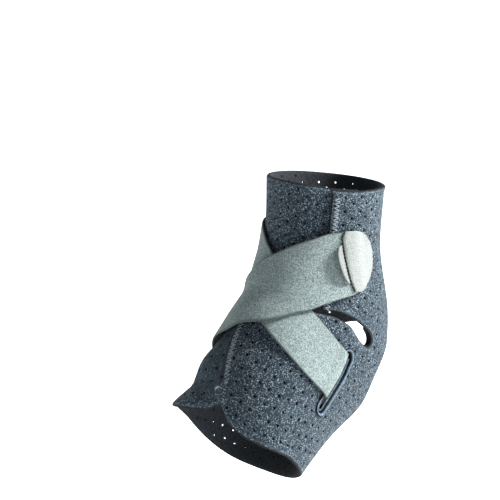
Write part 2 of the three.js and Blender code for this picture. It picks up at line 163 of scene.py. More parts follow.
# Soft forms of the wrap: lift is a share of the flare, reach in rows and degrees.
SWELLS = (
    {"row": 10.95, "turn": 56, "rows": 1.15, "turns": 44, "lift": 1.0},
    {"row": 9.25, "turn": 40, "rows": 0.75, "turns": 30, "lift": 0.3},
    {"row": 9.95, "turn": 30, "rows": 0.32, "turns": 27, "lift": -0.28},
    {"row": 10.35, "turn": 365, "rows": 0.7, "turns": 15, "lift": 0.62},
    {"row": 10.2, "turn": 364, "rows": 0.2, "turns": 6, "lift": 0.3},
)
# Places where the wrap is thicker or flicks out: reach in rows and degrees, amount in metres.
CUT_PAD = {"row": 5.8, "turn": 106, "rows": 0.75, "turns": 14, "amount": 0.0026}
SLOT_RISE = {"middle": 0.002, "run": 0.0046}  # where a strap climbs through its slot, from the slot's middle
RIM_FLICK = {"turn": 244, "turns": 26, "rows": 0.38, "amount": 0.0016}
LAP = {"start": 4, "turns": 26}  # where the wrap sinks to lie under the outer flap, from that flap's edge
LOOSE = {"row": 8.4, "rows": 1.2, "turns": 12}  # where the cloth hangs free
SLOT_LEAVE = {"start": 0.001, "run": 0.008}  # where a strap comes down from its slot's lip
TAB_STEP = {"start": 1.5, "turns": 18}  # where a tab comes down from its strap's end
STRAP_COLUMNS = ("up_row", "up_turn", "low_row", "low_turn", "layer")
UNDER_STRAP = table(
    STRAP_COLUMNS,
    [
        (6.75, -112, 8.35, -118, 0), (6.7, -96, 8.35, -103, 0), (6.65, -78, 8.33, -86, 0),
        (6.47, -60, 8.38, -65, 0), (6.03, -44, 8.3, -46, 0), (5.07, -32, 8.13, -28, 0),
        (3.7, -18, 7.8, -8, 0), (3.13, -1, 7.3, 17, 0), (2.65, 17, 6.6, 37, 0),
        (2.25, 33, 5.45, 50, 0), (1.97, 50, 4.75, 64, 0), (1.88, 70, 4.45, 83, 0),
        (1.86, 96, 4.3, 109, 0),
    ],
)
OVER_STRAP = table(
    STRAP_COLUMNS,
    [
        (6.75, -112, 8.35, -118, 0), (6.7, -96, 8.37, -103, 0), (6.65, -78, 8.4, -86, 0),
        (6.5, -63, 8.52, -66, 0.2), (6.1, -50, 8.5, -45, 0.9), (5.2, -40, 8.42, -20, 1.2),
        (4.05, -28, 8.15, -5, 1.5), (3.35, -14, 7.9, 14, 1.5), (2.9, 3, 7.35, 30, 1.5),
        (2.55, 17, 6.6, 39, 1.35), (2.27, 32, 5.45, 49, 0.9), (1.97, 50, 4.75, 64, 0.2),
        (1.88, 70, 4.3, 83, 0),
    ],
)
TAB_SHIFT = 26  # how much further back the lower strap's tab sits, in degrees
TAB = table(
    ("row", "slit", "round"),
    [(1.86, 66.5, 78), (1.95, 63.8, 86.5), (2.15, 62.8, 93.5), (2.45, 64.6, 99.5), (2.95, 68.2, 103.5),
     (3.4, 71.8, 102.5), (3.75, 74.6, 98), (4.05, 77, 90.5), (4.25, 78.6, 85)],
)
GRIP = {"top": 2.4, "foot": 3.9, "lean": 0.75}
INNER, OUTER = 1, -1  # side of the ankle as the sign of its turn
SIDES = (("outer", OUTER), ("inner", INNER))
TABS = (("over", OUTER, 0), ("under", INNER, TAB_SHIFT))  # strap, the side it ends on, shift of its tab


def length(name, default, description):
    return FloatProperty(name=name, description=description, default=default, unit="LENGTH")


def tint(name, default, description):
    return FloatVectorProperty(name=name, description=description, default=default, subtype="COLOR", size=3)


class AnkleSupportSizes(bpy.types.PropertyGroup):
    wall: length("Wrap sheet", 0.003, "Thickness of the wrap")
    strap_sheet: length("Strap sheet", 0.0015, "Thickness of the elastic straps")
    tab_sheet: length("Tab sheet", 0.0013, "Thickness of the hook tabs")
    mesh_step: length("Mesh step", 0.0029, "Spacing of the wrap's mesh points")
    hole_width: length("Hole width", 0.0017, "Width of a punched perforation")
    hole_column: length("Hole columns", 0.0078, "Spacing of the perforation columns")
    hole_pitch: length("Hole pitch", 0.0098, "Spacing of perforations in a column")
    stitch_pitch: length("Stitch pitch", 0.0014, "Step of the zigzag seam")
    stitch_width: length("Stitch width", 0.0048, "Width of the zigzag seam")
    thread: length("Thread", 0.0007, "Thickness of the thread")
    stitch_seed: IntProperty(name="Stitch seed", description="Seed of the stray of the stitches", default=7)


class AnkleSupportColours(bpy.types.PropertyGroup):
    wrap: tint("Wrap", (0.0215, 0.0355, 0.0505), "Middle tone of the heather knit")
    wrap_dark: tint("Wrap dark yarn", (0.005, 0.008, 0.011), "Dark yarn of the heather knit")
    wrap_light: tint("Wrap light yarn", (0.32, 0.42, 0.49), "Light yarn of the heather knit")
    foam: tint("Foam", (0.006, 0.006, 0.008), "Cut edge of the sheet")
    strap: tint("Strap", (0.175, 0.221, 0.22), "Elastic strap")
    tab: tint("Hook tab", (0.262, 0.287, 0.279), "Hook tape")
    thread: tint("Thread", (0.21, 0.25, 0.285), "Seam thread")
    floor: tint("Floor", (0.86, 0.87, 0.88), "Studio floor")


def sizes():
    return bpy.context.scene.ankle_support_sizes


def colours():
    return bpy.context.scene.ankle_support_colours


# The form on the ankle: one surface of section rows and turns, and what lies on it.
def smooth(x):
    x = np.clip(x, 0, 1)
    return x * x * (3 - 2 * x)


def mix(a, b, t):
    return a + (b - a) * t


def along(rows, key, column, x):
    """Smooth value of a table's column at x of its key column."""
    keys, values = rows[key], rows[column]
    x = np.asarray(x, float)
    k = np.clip(np.searchsorted(keys, x, side="right") - 1, 0, len(keys) - 2)
    step = np.diff(values) / np.diff(keys)
    slope = np.concatenate([step[:1], np.zeros(len(step) - 1), step[-1:]])
    same_way = step[:-1] * step[1:] > 0
    total = np.where(same_way, step[:-1] + step[1:], 1)
    slope[1:-1] = np.where(same_way, 2 * step[:-1] * step[1:] / total, 0)
    width = keys[k + 1] - keys[k]
    t = (x - keys[k]) / width
    inside = (
        values[k] * (1 - t) ** 2 * (1 + 2 * t)
        + values[k + 1] * t * t * (3 - 2 * t)
        + width * (slope[k] * t * (1 - t) ** 2 - slope[k + 1] * t * t * (1 - t))
    )
    outside = np.where(t < 0, values[k] + step[k] * t * width, values[k + 1] + step[k] * (t - 1) * width)
    return np.where((t < 0) | (t > 1), outside, inside)


def section_value(column, row):
    """A column of the section table at a fractional row, through its neighbours."""
    values = SECTIONS[column]
    last = len(values) - 1
    row = np.asarray(row, float)
    k = np.clip(np.floor(row).astype(int), 0, last - 1)
    t = row - k
    p1, p2 = values[k], values[k + 1]
    p0 = np.where(k > 0, values[np.maximum(k - 1, 0)], 2 * p1 - p2)
    p3 = np.where(k < last - 1, values[np.minimum(k + 2, last)], 2 * p2 - p1)
    bend = 2 * p0 - 5 * p1 + 4 * p2 - p3 + t * (3 * (p1 - p2) + p3 - p0)
    return p1 + 0.5 * t * (p2 - p0 + t * bend)


def face_point(row, turn, pull=0.0):
    """Point of the outer face; pull is the share of the strap bridge that is added."""
    row, turn = np.broadcast_arrays(np.asarray(row, float), np.asarray(turn, float))
    lengthwise = section_value("along", row)
    travel = lengthwise * np.where(lengthwise > 0, SHAFT_LENGTH, FOOT_LENGTH)
    tilt = section_value("turn", row) * FOOT_BEND
    front = section_value("front", row) * HEEL_REACH
    back = section_value("back", row) * HEEL_REACH
    sine, cosine = -np.sin(np.radians(turn)), np.cos(np.radians(turn))
    exponent = np.where(cosine > 0, 2.0, section_value("round", row))
    radius = (np.abs(cosine) ** exponent + np.abs(sine) ** exponent) ** (-1 / exponent)
    half = np.where(sine > 0, section_value("outer", row), section_value("inner", row)) * ANKLE_WIDTH
    middle = mix(front, back, FRONT_SHARE)
    in_front = middle - front + pull * BRIDGE * section_value("lift", row)
    depth = middle - np.where(cosine > 0, in_front, back - middle) * cosine * radius
    return np.stack(
        [
            half * sine * radius,
            -PIVOT_FORWARD + np.cos(tilt) * depth + travel * np.sin(tilt),
            PIVOT_UP - np.sin(tilt) * depth + travel * np.cos(tilt),
        ],
        -1,
    )


def face_normal(row, turn, pull=0.0):
    """Outward direction of the face, from points close by."""
    e = 0.01
    row, turn = np.asarray(row, float), np.asarray(turn, float)
    down = face_point(row + e, turn, pull) - face_point(row - e, turn, pull)
    round_it = face_point(row, turn + 50 * e, pull) - face_point(row, turn - 50 * e, pull)
    normal = np.cross(round_it, down)
    return normal / np.linalg.norm(normal, axis=-1, keepdims=True)


def on_face(row, turn, height, pull=0.0):
    """Point at a height over the face."""
    return face_point(row, turn, pull) + face_normal(row, turn, pull) * np.asarray(height)[..., None]


def per_degree(row, turn):
    """Real length of one degree of turn."""
    return np.linalg.norm(face_point(row, turn + 1.0) - face_point(row, turn - 1.0), axis=-1) / 2


def per_row(row, turn):
    """Real length of one row."""
    return np.linalg.norm(face_point(row + 0.05, turn) - face_point(row - 0.05, turn), axis=-1) / 0.1


def ripple(row, turn):
    """Slow unevenness of the cloth on the ankle, from -1 to 1."""
    return (
        np.sin(1.9 * row + 0.061 * turn)
        + np.sin(3.1 * row - 0.043 * turn + 1.3)
        + np.sin(0.9 * row + 0.113 * turn + 2.2)
    ) / 3


def wrap_height(row, turn, wall):
    """Height of the wrap's outer face over the section surface: the flaps' lap and the soft forms."""
    seam = along(OUTER_FLAP_EDGE, "row", "turn", row) - FULL_TURN
    height = -(wall + GAP) * (1 - smooth((turn - seam - LAP["start"]) / LAP["turns"]))
    for swell in SWELLS:
        a = (row - swell["row"]) / swell["rows"]
        b = (turn - swell["turn"]) / swell["turns"]
        height = height + FLARE * swell["lift"] * np.maximum(0, 1 - a * a - b * b) ** 2
    free = smooth((row - LOOSE["row"]) / LOOSE["rows"])
    free = free * smooth((seam + FULL_TURN - turn + 1) / LOOSE["turns"])
    below_rim = (row - along(TOP_RIM, "turn", "row", turn)) / RIM_FLICK["rows"]
    flick = np.maximum(0, 1 - ((turn - RIM_FLICK["turn"]) / RIM_FLICK["turns"]) ** 2) * RIM_FLICK["amount"]
    height = height + flick * np.clip(1 - below_rim, 0, 1) ** 2
    return height + ripple(row, turn) * (0.9 * RIPPLE + LOOSE_RIPPLE * free)


def cut_padding(row, turn):
    """Extra thickness behind the closed end of each ankle cut."""
    side = np.where(turn > 180, FULL_TURN - turn, turn)
    a = (row - CUT_PAD["row"]) / CUT_PAD["rows"]
    b = (side - CUT_PAD["turn"]) / CUT_PAD["turns"]
    return CUT_PAD["amount"] * smooth(2 * np.maximum(0, 1 - a * a - b * b))


def slot_place(side, a, b):
    """Row and turn of a point at a and b along and across a slot."""
    row = mix(SLOT_TOP, SLOT_FOOT, a / SLOT_LENGTH + 0.5)
    turn = side * along(SLOT_LINE, "row", "turn", row)
    return row, turn + side * b / per_degree(row, turn)


def slot_outline(grow, count):
    """Closed outline of a slot, grown outwards, as lengths along and across it."""
    straight, radius = (SLOT_LENGTH - SLOT_WIDTH) / 2, SLOT_WIDTH / 2 + grow
    arc, side = math.pi * radius, 2 * straight
    s = np.arange(count) / count * 2 * (arc + side)
    second = s >= arc + side
    s = np.where(second, s - arc - side, s)
    angle = np.clip(s / radius, 0, math.pi)
    over = np.maximum(0, s - arc)
    a = straight + radius * np.sin(angle) - over
    b = radius * np.cos(angle)
    sign = np.where(second, -1, 1)
    return a * sign, b * sign


# Meshes
def new_piece(name, points, faces, material_slots, material_index=None, uv=None, shares=None):
    """A piece made of plain mesh data at the origin; shares are named values of its points."""
    mesh = bpy.data.meshes.new(name)
    mesh.from_pydata([tuple(p) for p in points], [], [tuple(f) for f in faces])
    for material in material_slots:
        mesh.materials.append(material)
    if material_index is not None:
        mesh.polygons.foreach_set("material_index", material_index)
    if uv is not None:
        layer = mesh.uv_layers.new(name="cloth")
        loops = np.empty(len(mesh.loops), int)
        mesh.loops.foreach_get("vertex_index", loops)
        layer.data.foreach_set("uv", np.asarray(uv, float)[loops].ravel())
    for key, values in (shares or {}).items():
        mesh.attributes.new(key, "FLOAT", "POINT").data.foreach_set("value", values)
    mesh.validate()
    mesh.update()
    mesh.polygons.foreach_set("use_smooth", np.ones(len(mesh.polygons), bool))
    mesh.set_sharp_from_angle(angle=math.radians(50))
    piece = bpy.data.objects.new(name, mesh)
    bpy.context.scene.collection.objects.link(piece)
    return piece


def band(points, closed_ends=True, loop=False):
    """Faces of a grid of points (rings x corners) whose corners close round; loop joins the last ring."""
    rings, corners = points.shape[:2]
    i, j = np.meshgrid(np.arange(rings if loop else rings - 1), np.arange(corners), indexing="ij")
    nxt, right = (i + 1) % rings, (j + 1) % corners
    quads = np.stack([i * corners + j, i * corners + right, nxt * corners + right, nxt * corners + j], -1)
    faces = quads.reshape(-1, 4).tolist()
    if closed_ends and not loop:
        faces.append(list(range(corners))[::-1])
        faces.append(list(range((rings - 1) * corners, rings * corners)))
    return faces


def outward(points, faces):
    """Turns all faces round if the closed body they make is inside out."""
    flat = points.reshape(-1, 3)
    volume = 0.0
    for face in faces:
        fan = flat[list(face)]
        a, b, c = fan[0], fan[1:-1], fan[2:]
        volume += float(np.sum(a * np.cross(b, c)))
    return [face[::-1] for face in faces] if volume < 0 else faces


# Flat pattern of the wrap
TURN_SCALE, ROW_SCALE = 0.9, 19.0  # pattern units for a degree and a row, near to millimetres
PATTERN_TURNS = (-84.0, 378.0)
RIM_STEP = 0.0014  # spacing of the points on the outline
HOLE_CORNERS = 8
HOLE_DIP = 0.0006  # how far a perforation's mouth sinks
HOLE_MARGIN = 3.4  # from a rim to the nearest perforation, in pattern units as the next five
MESH_MARGIN = 1.9  # from a rim to the nearest point of the mesh
HOLE_CLEAR = 1.7  # from a perforation's middle to the nearest point of the mesh
RIM_INSET = 1.0  # from a rim to the row of points that carries its rounding
RIM_ROUNDING = 1.3
RIM_DARK_REACH = 2.0
RIM_DROP, LINING_DROP = 0.0008, 0.0004  # how far the two faces bend together at a rim
FLAP_SHADOW_STRIP = (0.0062, 0.002)  # painted shadow on the inner flap beside the outer flap's edge: breadth and fade


def pattern(row, turn):
    """Point of the flat pattern."""
    return np.stack([np.asarray(turn) * TURN_SCALE, np.asarray(row) * ROW_SCALE], -1)


def unpattern(points):
    """Row and turn of points of the flat pattern."""
    return points[..., 1] / ROW_SCALE, points[..., 0] / TURN_SCALE


def resampled(loop, spacing):
    """A closed loop of pattern points with even steps in real length."""
    closed = np.vstack([loop, loop[:1]])
    row, turn = unpattern(closed)
    place = face_point(row, turn)
    length = np.concatenate([[0], np.cumsum(np.linalg.norm(np.diff(place, axis=0), axis=1))])
    steps = max(8, int(round(length[-1] / spacing)))
    at = np.arange(steps) / steps * length[-1]
    return np.stack([np.interp(at, length, closed[:, c]) for c in (0, 1)], -1)


def softened(loop, times):
    """A closed loop with its corners rounded."""
    for _ in range(times):
        loop = (np.roll(loop, 1, 0) + 2 * loop + np.roll(loop, -1, 0)) / 4
    return loop


def wrap_outline():
    """Closed outline of the flat pattern, with both ankle cuts running in from the front."""
    n = 120
    cut_end = ANKLE_CUT["turn"][-1]
    share = np.linspace(0, 1, n)
    stretches = []

    def stretch(row, turn):
        stretches.append(pattern(row, turn))

    def flap(edge, top, foot):
        row = mix(top, foot, share)
        stretch(row, along(edge, "row", "turn", row))

    def cut(lip, start, end, turned):
        turn = mix(start, end, share)
        stretch(along(ANKLE_CUT, "turn", lip, np.abs(turn)), turn + turned)

    # The outer flap's top corner is cut off slantwise.
    turn = mix(PATTERN_TURNS[0], 314.5, np.linspace(0, 1, 3 * n))
    stretch(along(TOP_RIM, "turn", "row", turn), turn)
    flap(OUTER_FLAP_EDGE, 0.42, 5.57)
    cut("upper", -49, -cut_end, FULL_TURN)
    cut("lower", -cut_end, 13, FULL_TURN)
    flap(OUTER_FLAP_EDGE, 6.42, 10.3)
    turn = mix(361.5, -16, np.linspace(0, 1, 3 * n))
    stretch(along(TOE_RIM, "turn", "row", turn), turn)
    flap(INNER_FLAP_EDGE, 10.35, 6.32)
    cut("lower", -21, cut_end, 0)
    cut("upper", cut_end, PATTERN_TURNS[0], 0)
    flap(INNER_FLAP_EDGE, 5.3, 0.4)
    fine = resampled(np.vstack(stretches), 0.0006)
    return resampled(softened(fine, 3), RIM_STEP)


def heel_outline():
    """Closed outline of the heel hole in the flat pattern."""
    angle = np.linspace(0, 2 * math.pi, 200, endpoint=False)
    row = HEEL_HOLE["row"] - np.cos(angle) * HEEL_HOLE["rows"]
    return resampled(pattern(row, HEEL_HOLE["turn"] + np.sin(angle) * HEEL_HOLE["turns"]), 0.0018)


def slot_loop(side):
    """Closed outline of a slot in the flat pattern."""
    a, b = slot_outline(0.0, 90)
    row, turn = slot_place(side, a, b)
    return pattern(row, turn if side == INNER else turn + FULL_TURN)


def inside(loop, points):
    """True for each point that lies inside a closed loop."""
    x, y = points[:, 0][:, None], points[:, 1][:, None]
    ax, ay = loop[:, 0][None], loop[:, 1][None]
    bx, by = np.roll(loop[:, 0], -1)[None], np.roll(loop[:, 1], -1)[None]
    crosses = ((ay > y) != (by > y)) & (x < (bx - ax) * (y - ay) / np.where(by == ay, 1e-12, by - ay) + ax)
    return crosses.sum(1) % 2 == 1


def columns_of_points(column_step, pitch, stray):
    """Staggered points over the whole pattern: columns of even pitch in real length, a little astray."""
    rng = np.random.default_rng(5)
    turn = PATTERN_TURNS[0]
    found, odd = [], False
    while turn < PATTERN_TURNS[1]:
        row = np.linspace(0.02, 11.3, 500)
        place = face_point(row, np.full_like(row, turn))
        length = np.concatenate([[0], np.cumsum(np.linalg.norm(np.diff(place, axis=0), axis=1))])
        at = np.arange(pitch * (0.5 if odd else 1.0), length[-1], pitch)
        at = at + rng.uniform(-stray, stray, len(at)) * pitch
        aside = rng.uniform(-stray, stray, len(at)) * column_step / per_degree(np.full_like(at, 5.0), turn)
        found.append(pattern(np.interp(at, length, row), turn + aside))
        turn += column_step / float(per_degree(2.0, turn) * 0.5 + per_degree(8.5, turn) * 0.5)
        odd = not odd
    return np.vstack(found)


def nearest(points, others):
    """Distance from each point to the nearest of the others, in space or in pattern units."""
    if points.shape[1] == 2:
        points, others = (np.column_stack([group, np.zeros(len(group))]) for group in (points, others))
    tree = KDTree(len(others))
    for k, place in enumerate(others):
        tree.insert(place, k)
    tree.balance()
    return np.array([tree.find(place)[2] for place in points])


def wrap_mesh(size):
    """The wrap's points, faces, material numbers and point shares, from its flat pattern with all holes."""
    loops = [wrap_outline(), heel_outline(), slot_loop(INNER), slot_loop(OUTER)]
    rim = np.vstack(loops)

    def on_cloth(points, margin):
        keep = inside(loops[0], points)
        for hole in loops[1:]:
            keep &= ~inside(hole, points)
        kept = points[keep]
        return kept[nearest(kept, rim) > margin]

    centres = on_cloth(columns_of_points(size.hole_column, size.hole_pitch, 0.06), HOLE_MARGIN)
    ground = on_cloth(columns_of_points(size.mesh_step, size.mesh_step * 1.05, 0.0), MESH_MARGIN)
    ground = ground[nearest(ground, centres) > HOLE_CLEAR]

    row, turn = unpattern(centres)
    degree, rows = per_degree(row, turn), per_row(row, turn)
    corner = np.arange(HOLE_CORNERS) / HOLE_CORNERS * 2 * math.pi
    rng = np.random.default_rng(3)
    radius = size.hole_width / 2 * rng.uniform(0.85, 1.15, len(centres))

    def ring(scale, turned):
        reach = radius * scale
        r = row[:, None] + reach[:, None] / rows[:, None] * np.sin(corner + turned)
        t = turn[:, None] + reach[:, None] / degree[:, None] * np.cos(corner + turned)
        return pattern(r, t).reshape(-1, 2)

    # An even row of points just inside the rim carries its rounding.
    tangent = [np.roll(loop, -1, 0) - np.roll(loop, 1, 0) for loop in loops]
    inset = []
    for k, (loop, t) in enumerate(zip(loops, tangent)):
        area = float(np.sum(loop[:, 0] * np.roll(loop[:, 1], -1) - np.roll(loop[:, 0], -1) * loop[:, 1]))
        sign = (1 if area > 0 else -1) * (1 if k == 0 else -1)
        normal = np.stack([-t[:, 1], t[:, 0]], -1) / np.linalg.norm(t, axis=1, keepdims=True)
        inset.append(loop + normal * sign * RIM_INSET)
    inset = on_cloth(np.vstack(inset), 0.7 * RIM_INSET)

    points = [*loops, ring(1.0, 0.0), ring(1.9, math.pi / HOLE_CORNERS), inset, ground]
    edges, owner, start = [], [], 0
    for k, group in enumerate(points):
        count = len(group)
        if k < 4:
            edges += [(start + i, start + (i + 1) % count) for i in range(count)]
            owner += [k] * count
        elif k == 4:
            for base in range(start, start + count, HOLE_CORNERS):
                edges += [(base + i, base + (i + 1) % HOLE_CORNERS) for i in range(HOLE_CORNERS)]
            owner += [4 + i // HOLE_CORNERS for i in range(count)]
        else:
            owner += [-1] * count
        start += count
    flat = np.vstack(points)
    dip = np.zeros(len(flat))
    first = sum(len(loop) for loop in loops)
    dip[first:first + HOLE_CORNERS * len(centres)] = HOLE_DIP
    made = delaunay_2d_cdt([Vector(p) for p in flat], edges, [], 1, 1e-5, True)
    spots = np.array([tuple(v) for v in made[0]])
    source = [list(o)[0] if len(o) else -1 for o in made[3]]
    owners = np.array([owner[s] if s >= 0 else -1 for s in source])
    dips = np.array([dip[s] if s >= 0 else 0.0 for s in source])
    triangles = np.array([tuple(f) for f in made[2]])
    own = owners[triangles]
    punched = (own[:, 0] > 0) & (own[:, 0] == own[:, 1]) & (own[:, 1] == own[:, 2])
    middle = spots[triangles].mean(1)
    triangles = triangles[~punched & inside(loops[0], middle)]

    row, turn = unpattern(spots)
    height = wrap_height(row, turn, size.wall)
    to_rim = nearest(spots, rim)
    rounding = np.clip(1 - to_rim / RIM_ROUNDING, 0, 1) ** 2
    normal = face_normal(row, turn)
    base = face_point(row, turn)
    outer = base + normal * (height - RIM_DROP * rounding - dips)[:, None]
    lining = height - size.wall + LINING_DROP * rounding - cut_padding(row, turn)
    inner = base + normal * lining[:, None]

    used = {}
    for a, b, c in triangles:
        for p, q in ((a, b), (b, c), (c, a)):
            if (q, p) in used:
                del used[(q, p)]
            else:
                used[(p, q)] = True
    n = len(spots)
    walls = [(q, p, p + n, q + n) for p, q in used]
    faces = [tuple(t) for t in triangles] + [(a + n, c + n, b + n) for a, b, c in triangles] + walls
    index = [0] * len(triangles) + [2] * len(triangles) + [1] * len(walls)
    points = np.vstack([outer, inner])
    # Darker towards each rim, where the black cut foam shows, and partly painted shade of the cut wall.
    dark_rim_and_shade = np.clip(1 - to_rim / RIM_DARK_REACH, 0, 1)
    # Each perforation's mouth is painted dark: painted shade of the hole.
    dark_rim_and_shade[dips > 0] = 1.0
    # On the foot the inner flap is painted dark in a strip beside the outer flap's edge: painted shadow of
    # the flap's step.
    seam = along(OUTER_FLAP_EDGE, "row", "turn", row) - FULL_TURN
    beside = (turn - seam) * per_degree(row, turn)
    on_foot = (row > 6.5) & (row < 10.35)
    painted_flap_shadow = np.maximum(dark_rim_and_shade, 1 - smooth((beside - FLAP_SHADOW_STRIP[0]) / FLAP_SHADOW_STRIP[1]))
    dark_rim_and_shade = np.where(on_foot & (beside > -0.004), painted_flap_shadow, dark_rim_and_shade)
    # A lighter, smoother patch on the inner front flap: smoother knit and painted sheen.
    smooth_and_sheen = np.where(on_foot, 0.55 * smooth(beside / 0.003) * smooth((70 - turn) / 20), 0)
    shares = {"edge": np.concatenate([dark_rim_and_shade, dark_rim_and_shade]), "smooth_and_sheen": np.concatenate([smooth_and_sheen, smooth_and_sheen])}
    return points, outward(points, faces), index, shares


def strap_height(row, turn, slot_side, layer, strap_sheet, wall):
    """Height of a strap's underside: inside the wrap before its slot, on the wrap after it."""
    past = (turn + along(SLOT_LINE, "row", "turn", row)) * per_degree(row, turn * -slot_side)
    inside_wrap = -(wall + STRAP_LIE + strap_sheet)
    near_slot = 1 - smooth((past - SLOT_WIDTH / 2 - LIP_WIDTH - SLOT_LEAVE["start"]) / SLOT_LEAVE["run"])
    outside = STRAP_LIE + layer * (strap_sheet + STRAP_LIE) + near_slot * (LIP_HEIGHT + STRAP_LIE + 0.0001)
    out = np.clip(0.5 + (past - SLOT_RISE["middle"]) / SLOT_RISE["run"], 0, 1)
    return mix(inside_wrap, outside, 0.5 * out + 0.5 * smooth(out))


def evened(rings, reach):
    """Rings of points averaged along the strap over a reach of rings."""
    weight = np.exp(-0.5 * (np.arange(-2 * reach, 2 * reach + 1) / reach) ** 2)
    padded = np.concatenate([rings[:1].repeat(2 * reach, 0), rings, rings[-1:].repeat(2 * reach, 0)])
    total = sum(w * padded[k:k + len(rings)] for k, w in enumerate(weight))
    return total / weight.sum()


def strap_points(stations, slot_side, size, count=300):
    """Rings of a strap's rounded flat section, its cloth coordinates in centimetres, the shares of the
    painted shade on its part inside the wrap and of the painted shade along its edges, and its length and
    mean width."""
    keyed = dict(stations, k=np.arange(len(stations["layer"]), dtype=float))
    place = np.linspace(0, keyed["k"][-1], count)
    value = {name: along(keyed, "k", name, place)[:, None] for name in STRAP_COLUMNS}
    rim = np.array([0.0, 0.004, 0.012, 0.026])
    face = np.concatenate([rim, np.linspace(0.05, 0.95, 37), 1 - rim[::-1]])
    fill = np.interp(np.minimum(face, 1 - face), rim, [0.5, 0.82, 0.96, 1.0])
    across = np.concatenate([face, face[::-1]])[None]
    lift = np.concatenate([fill, 1 - fill[::-1]])[None] * size.strap_sheet
    row = mix(value["up_row"], value["low_row"], across)
    turn = mix(value["up_turn"], value["low_turn"], across)
    height = strap_height(row, turn, slot_side, value["layer"], size.strap_sheet, size.wall)
    wave = ripple(row * 1.3 + 2, turn * 1.2) * RIPPLE
    points = on_face(row, turn * -slot_side, height + wave + lift, 1.0)
    free = smooth((place - 2.7) / 0.8) * smooth((keyed["k"][-1] - 0.9 - place) / 0.8)
    points = mix(points, evened(points, 6), free[:, None, None])
    middle = points[:, across.shape[1] // 4]
    length = np.concatenate([[0], np.cumsum(np.linalg.norm(np.diff(middle, axis=0), axis=1))])
    width = np.linalg.norm(points[:, 0] - points[:, len(face) - 1], axis=-1)
    lengthwise = np.broadcast_to(length[:, None], row.shape)
    uv = np.stack([lengthwise, width[:, None] * across], -1)
    past = (turn + along(SLOT_LINE, "row", "turn", row)) * per_degree(row, turn * -slot_side)
    # The strap's part inside the wrap is painted dark: painted shade in and behind its slot.
    slot_shade = 1 - smooth((past + 0.0016) / 0.002)
    to_side = np.minimum(across, 1 - across) * STRAP_BREADTH
    edge_shade = np.broadcast_to(1 - np.clip(to_side / STRAP_EDGE_SHADE, 0, 1), past.shape)
    return points, uv / 0.01, slot_shade, edge_shade, float(length[-1]), float(width.mean())


def tab_height(row, turn, strap_sheet):
    """Height of a tab's underside: on the strap's end, then down on the wrap."""
    end = {name: OVER_STRAP[name][-1] for name in STRAP_COLUMNS}
    share = (row - end["up_row"]) / (end["low_row"] - end["up_row"])
    strap_end = mix(end["up_turn"], end["low_turn"], share)
    down = smooth((turn - strap_end - TAB_STEP["start"]) / TAB_STEP["turns"])
    return GAP + (strap_sheet + STRAP_LIE) * (1 - down)


def rim_shares(n, m):
    """Shares of a lattice with close lines near its rim."""
    def spread(count):
        angle = math.pi * np.linspace(0.1, 0.9, count)
        return 0.5 - 0.5 * np.cos(angle) / math.cos(angle[0])

    return spread(n), spread(m)


def plate_body(low, high):
    """Points and faces of a closed plate between two lattices of points."""
    n, m = low.shape[:2]
    under, turned = n * m, [0, 3, 2, 1]
    points = np.concatenate([high.reshape(-1, 3), low.reshape(-1, 3)])
    top = np.arange(n * m).reshape(n, m)
    corners = np.stack([top[:-1, :-1], top[1:, :-1], top[1:, 1:], top[:-1, 1:]], -1).reshape(-1, 4)
    faces = [corners, corners[:, turned] + under]
    for rim, back in ((top[0], False), (top[:, -1], False), (top[-1], True), (top[:, 0], True)):
        wall = np.stack([rim[:-1], rim[1:], rim[1:] + under, rim[:-1] + under], -1)
        faces.append(wall[:, turned] if back else wall)
    return points, outward(points, np.concatenate(faces).tolist())


def rim_fill(points, reach):
    """Share of full thickness near a lattice's rim, by the distance to it."""
    rim = np.concatenate([points[0], points[-1], points[:, 0], points[:, -1]])
    distance = nearest(points.reshape(-1, 3), rim).reshape(points.shape[:2])
    return 0.35 + 0.65 * np.sqrt(1 - (1 - np.clip(distance / reach, 0, 1)) ** 2)


# Materials
def node_material(name, base, rough, **inputs):
    """A material, its node tree and its shader, with constant inputs set by name."""
    material = bpy.data.materials.new(name)
    material.use_nodes = True
    tree = material.node_tree
    shader = tree.nodes["Principled BSDF"]
    shader.inputs["Base Color"].default_value = (*base, 1)
    shader.inputs["Roughness"].default_value = rough
    for key, value in inputs.items():
        shader.inputs[key.replace("_", " ")].default_value = value
    return material, tree, shader


def add_node(tree, kind, settings=None, inputs=None):
    """A node with its settings, and its inputs, by name or number, set to values or linked to sockets."""
    node = tree.nodes.new(kind)
    for key, value in (settings or {}).items():
        setattr(node, key, value)
    for key, value in (inputs or {}).items():
        if isinstance(value, bpy.types.NodeSocket):
            tree.links.new(value, node.inputs[key])
        else:
            node.inputs[key].default_value = value
    return node


def place_socket(tree):
    return add_node(tree, "ShaderNodeTexCoord").outputs["Object"]


def share_socket(tree, name):
    """A named value of the piece's points."""
    return add_node(tree, "ShaderNodeAttribute", {"attribute_name": name}).outputs["Fac"]


def noise(tree, vector, scale, detail=2.0, rough=0.6):
    node = add_node(tree, "ShaderNodeTexNoise", None,
                    {"Vector": vector, "Scale": scale, "Detail": detail, "Roughness": rough})
    return node.outputs["Fac"]


def grains(tree, vector, scale):
    """Cells of random tone, and the distance from their middles."""
    node = add_node(tree, "ShaderNodeTexVoronoi", {"feature": "F1"}, {"Vector": vector, "Scale": scale})
    split = add_node(tree, "ShaderNodeSeparateColor", None, {"Color": node.outputs["Color"]})
    return split.outputs["Red"], node.outputs["Distance"]


def ramp(tree, value, stops):
    """Grey or colour ramp: stops are (position, colour)."""
    node = add_node(tree, "ShaderNodeValToRGB", None, {"Fac": value})
    elements = node.color_ramp.elements
    while len(elements) < len(stops):
        elements.new(0.5)
    for element, (position, colour) in zip(elements, stops):
        element.position = position
        element.color = (*colour, 1)
    return node.outputs["Color"]


